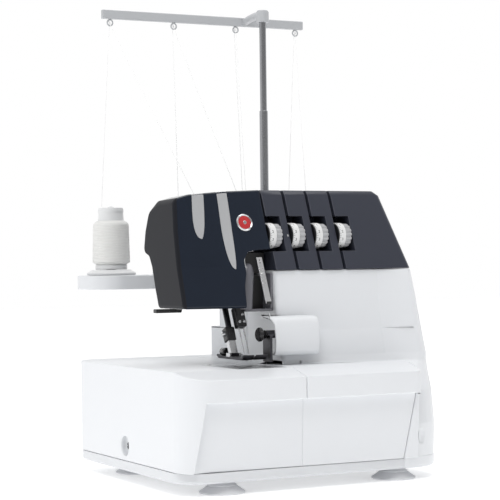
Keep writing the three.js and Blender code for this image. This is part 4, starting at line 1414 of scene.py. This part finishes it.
class OVERLOCK_OT_thread_stand(MachineOperator):
    """Build the tray, holders, cones, mast, guide bar and threads"""

    bl_idname = "overlock.thread_stand"
    bl_label = "Thread stand"

    def build(self, context):
        stand = settings(context, "stand")
        carried("tray_shell", "spool_tray", "tray", 1.2)
        for i in (1, 2, 3, 4):
            self.holder(i)
            self.cone(i, stand.winding / MM)
        self.mast()
        self.guide_bar()
        self.threads(stand.yarn_radius / MM)

    def holder(self, i):
        """The spool holder: a flanged base with a low raised ring and a pin."""
        centre, radius = footing(f"spool_holder_{i}")
        profile = [
            (radius - 0.8, 0), (radius, 0.8), (radius, 2.2), (radius - 0.9, 3), (22.5, 4.4), (21.5, 5.6),
            (5.4, 5.6), (5.3, 40), (5.1, 70), (3.6, 73), (1.2, 74.4), (0, 74.6),
        ]
        base = turned(profile, 72, "Z", centre)
        piece(f"holder_base_{i}", base, "core", node=f"spool_holder_{i}")

    def cone(self, i, winding):
        """A cone of wound yarn on its plastic core."""
        centre = footing(f"thread_cone_{i}")[0]
        turns = 2 * math.pi / winding
        profile = [(16, 5), (17.6, 6.2)]
        for k in range(112):
            share = k / 111
            shoulder = max(0.0, (share - 0.9) / 0.1)
            profile.append((20.3 - 1.1 * share - 3.4 * shoulder**2, 7.6 + 44.4 * share))
        profile += [(14.6, 52.6), (13, 52.6)]

        def strands(angle, height):
            if not 7 < height < 52.2:
                return 0.0
            crossing = math.sin(turns * 0.5 * height - 5 * angle)
            return 0.13 * math.sin(turns * height + 3 * angle) + 0.07 * crossing

        yarn = turned(profile, 96, "Z", centre, strands)
        piece(f"cone_yarn_{i}", yarn, "wound", node=f"thread_cone_{i}", sharp=180, origin=centre)
        core = [
            (6.4, 0), (16.6, 0), (17.2, 0.8), (17.2, 4.6), (15, 5.6), (14.2, 52), (13.9, 54), (13.4, 61),
            (13.8, 61.6), (13.8, 64), (13.2, 66.4), (12.2, 66.4), (11.6, 64), (6.4, 62),
        ]
        piece(f"cone_core_{i}", turned(core, 64, "Z", centre, hollow=True), "core")

    def mast(self):
        """The telescopic mast: a tube with a collar, and a rod that slides in it."""
        low, high = span("mast_tube")
        centre = Vector(((low.x + high.x) / 2, (low.y + high.y) / 2, 0))
        outer = (high.x - low.x) / 2
        tube_profile = [
            (outer - 0.45, low.z), (outer, low.z), (outer, high.z - 0.4), (outer - 0.3, high.z),
            (outer - 0.5, high.z), (outer - 0.5, low.z + 4),
        ]
        piece("mast_sleeve", turned(tube_profile, 48, "Z", centre), "mast steel", node="mast_tube")
        lip = outer + 1.9
        collar = turned([(outer + 0.1, 293), (lip, 293.4), (lip, 296), (outer + 0.1, 296.4)], 48, "Z", centre)
        piece("mast_collar", collar, "core")
        rod_low, rod_high = span("mast_rod")
        inner = (rod_high.x - rod_low.x) / 2
        sliding = rod(inner, rod_high.z - rod_low.z, "Z", (centre.x, centre.y, (rod_low.z + rod_high.z) / 2))
        piece("mast_slider", sliding, "mast steel", "mast", node="mast_rod")

    def guide_bar(self):
        """The guide bar on its curved arm, with a wire eyelet over each cone."""
        low, high = span("guide_bar")
        mast = middle("mast_tube")
        beam_low, beam_high = high.z - 12.5, high.z - 2.8
        corners = [(147, beam_low), (153, beam_low), (153, beam_high), (147, beam_high)]
        section = rounded([(y, z, 1.2) for y, z in corners], 4)
        beam = prism([(p.x, p.y) for p in section], "X", low.x, high.x)
        hood = [(5, 483.6), (6.8, 483.6), (7, 484.4), (7, 495), (5.6, high.z - 0.1), (0, high.z)]
        cap = turned(hood, 48, "Z", (mast.x, mast.y, 0))
        bend = [(mast.y + 2, 492.5), (120, 492.8), (136, 491.6), (149, 489.4)]
        arm = tube(smooth_line([(mast.x, y, z) for y, z in bend], 8), 4.2, 20)
        piece("guide_beam", joined(beam, cap, arm), "light", "mast", node="guide_bar", edge=0.3, sharp=40)
        for i, x in enumerate(EYELETS_X, 1):
            ring = []
            for k in range(33):
                angle = 2 * math.pi * k / 32 + math.pi / 2
                ring.append(Vector((x + 3.2 * math.cos(angle), 150, EYELET_Z + 3 + 3.2 * math.sin(angle))))
            stem = tube([Vector((x, 150, EYELET_Z + 6)), Vector((x, 150, EYELET_Z + 10))], 0.8, 12)
            piece(f"eyelet_{i}", joined(tube(ring, 0.8, 12), stem), "light", "mast")

    def threads(self, radius):
        """Each thread rises from its cone, turns over in its eyelet and comes down to the casing."""
        for i, (x, y, z) in enumerate(THREAD_ENDS):
            eye = EYELETS_X[i]
            cone = middle(f"thread_cone_{i + 1}")
            start = cone.x + THREAD_STARTS[i]
            route = [
                (start, 154, 281), ((start + eye) / 2, 153.4, 380), (eye, 152.8, 474), (eye, 151.4, 479),
                (eye, 149.4, 480.6), (eye, 148, 479), (eye + (x - eye) * 0.02, 147.4, 474),
                ((eye + x) / 2, (150 + y) / 2, (476 + z) / 2), (x, y, z),
            ]
            strand = tube(smooth_line(route, 8), radius, 8)
            made = piece(f"strand_{i + 1}", strand, "thread", node=f"thread_{i + 1}", sharp=60)
            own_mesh(made)


# ---------- feet ----------
class OVERLOCK_OT_feet(MachineOperator):
    """Build the rubber suction feet"""

    bl_idname = "overlock.feet"
    bl_label = "Feet"

    def build(self, context):
        for i in (1, 2, 3, 4):
            centre, radius = footing(f"foot_{i}")
            profile = [
                (radius - 3, 0), (radius - 0.6, 0), (radius, 0.8), (radius - 0.4, 1.8), (radius - 3, 3.4),
                (15.5, 6.4), (14.2, 7.2), (14.0, 8.2), (12.4, 9.0), (11, 11.2), (9, 11.2),
            ]
            piece(f"suction_foot_{i}", turned(profile, 64, "Z", centre), "foot", node=f"foot_{i}")


# ---------- panel and running ----------
OPERATORS = (
    OVERLOCK_OT_stage,
    OVERLOCK_OT_casing,
    OVERLOCK_OT_face_cover,
    OVERLOCK_OT_tension_housing,
    OVERLOCK_OT_tension_dials,
    OVERLOCK_OT_thread_path,
    OVERLOCK_OT_needles,
    OVERLOCK_OT_presser,
    OVERLOCK_OT_knives,
    OVERLOCK_OT_bed_parts,
    OVERLOCK_OT_drive,
    OVERLOCK_OT_controls,
    OVERLOCK_OT_thread_stand,
    OVERLOCK_OT_feet,
)


class OVERLOCK_PT_machine(Panel):
    """Lists the machine's settings and the steps that build it"""

    bl_label = "Overlock machine"
    bl_idname = "OVERLOCK_PT_machine"
    bl_space_type = "VIEW_3D"
    bl_region_type = "UI"
    bl_category = "Overlock"

    def draw(self, context):
        for group, kind in SETTINGS.items():
            box = self.layout.box()
            box.label(text=group.capitalize())
            for name in kind.__annotations__:
                box.prop(settings(context, group), name)
        for operator in OPERATORS:
            self.layout.operator(operator.bl_idname)


CLASSES = (*SETTINGS.values(), *OPERATORS, OVERLOCK_PT_machine)


def register():
    """Registers the classes and hangs the settings on the scene."""
    for kind in CLASSES:
        bpy.utils.register_class(kind)
    for group, kind in SETTINGS.items():
        setattr(bpy.types.Scene, f"overlock_{group}", PointerProperty(type=kind))


def unregister():
    """Takes the settings and the classes away again."""
    for group in SETTINGS:
        delattr(bpy.types.Scene, f"overlock_{group}")
    for kind in reversed(CLASSES):
        bpy.utils.unregister_class(kind)


def main():
    """Builds the whole machine."""
    register()
    for operator in OPERATORS:
        getattr(bpy.ops.overlock, operator.bl_idname.split(".")[1])()


if __name__ == "__main__":
    main()
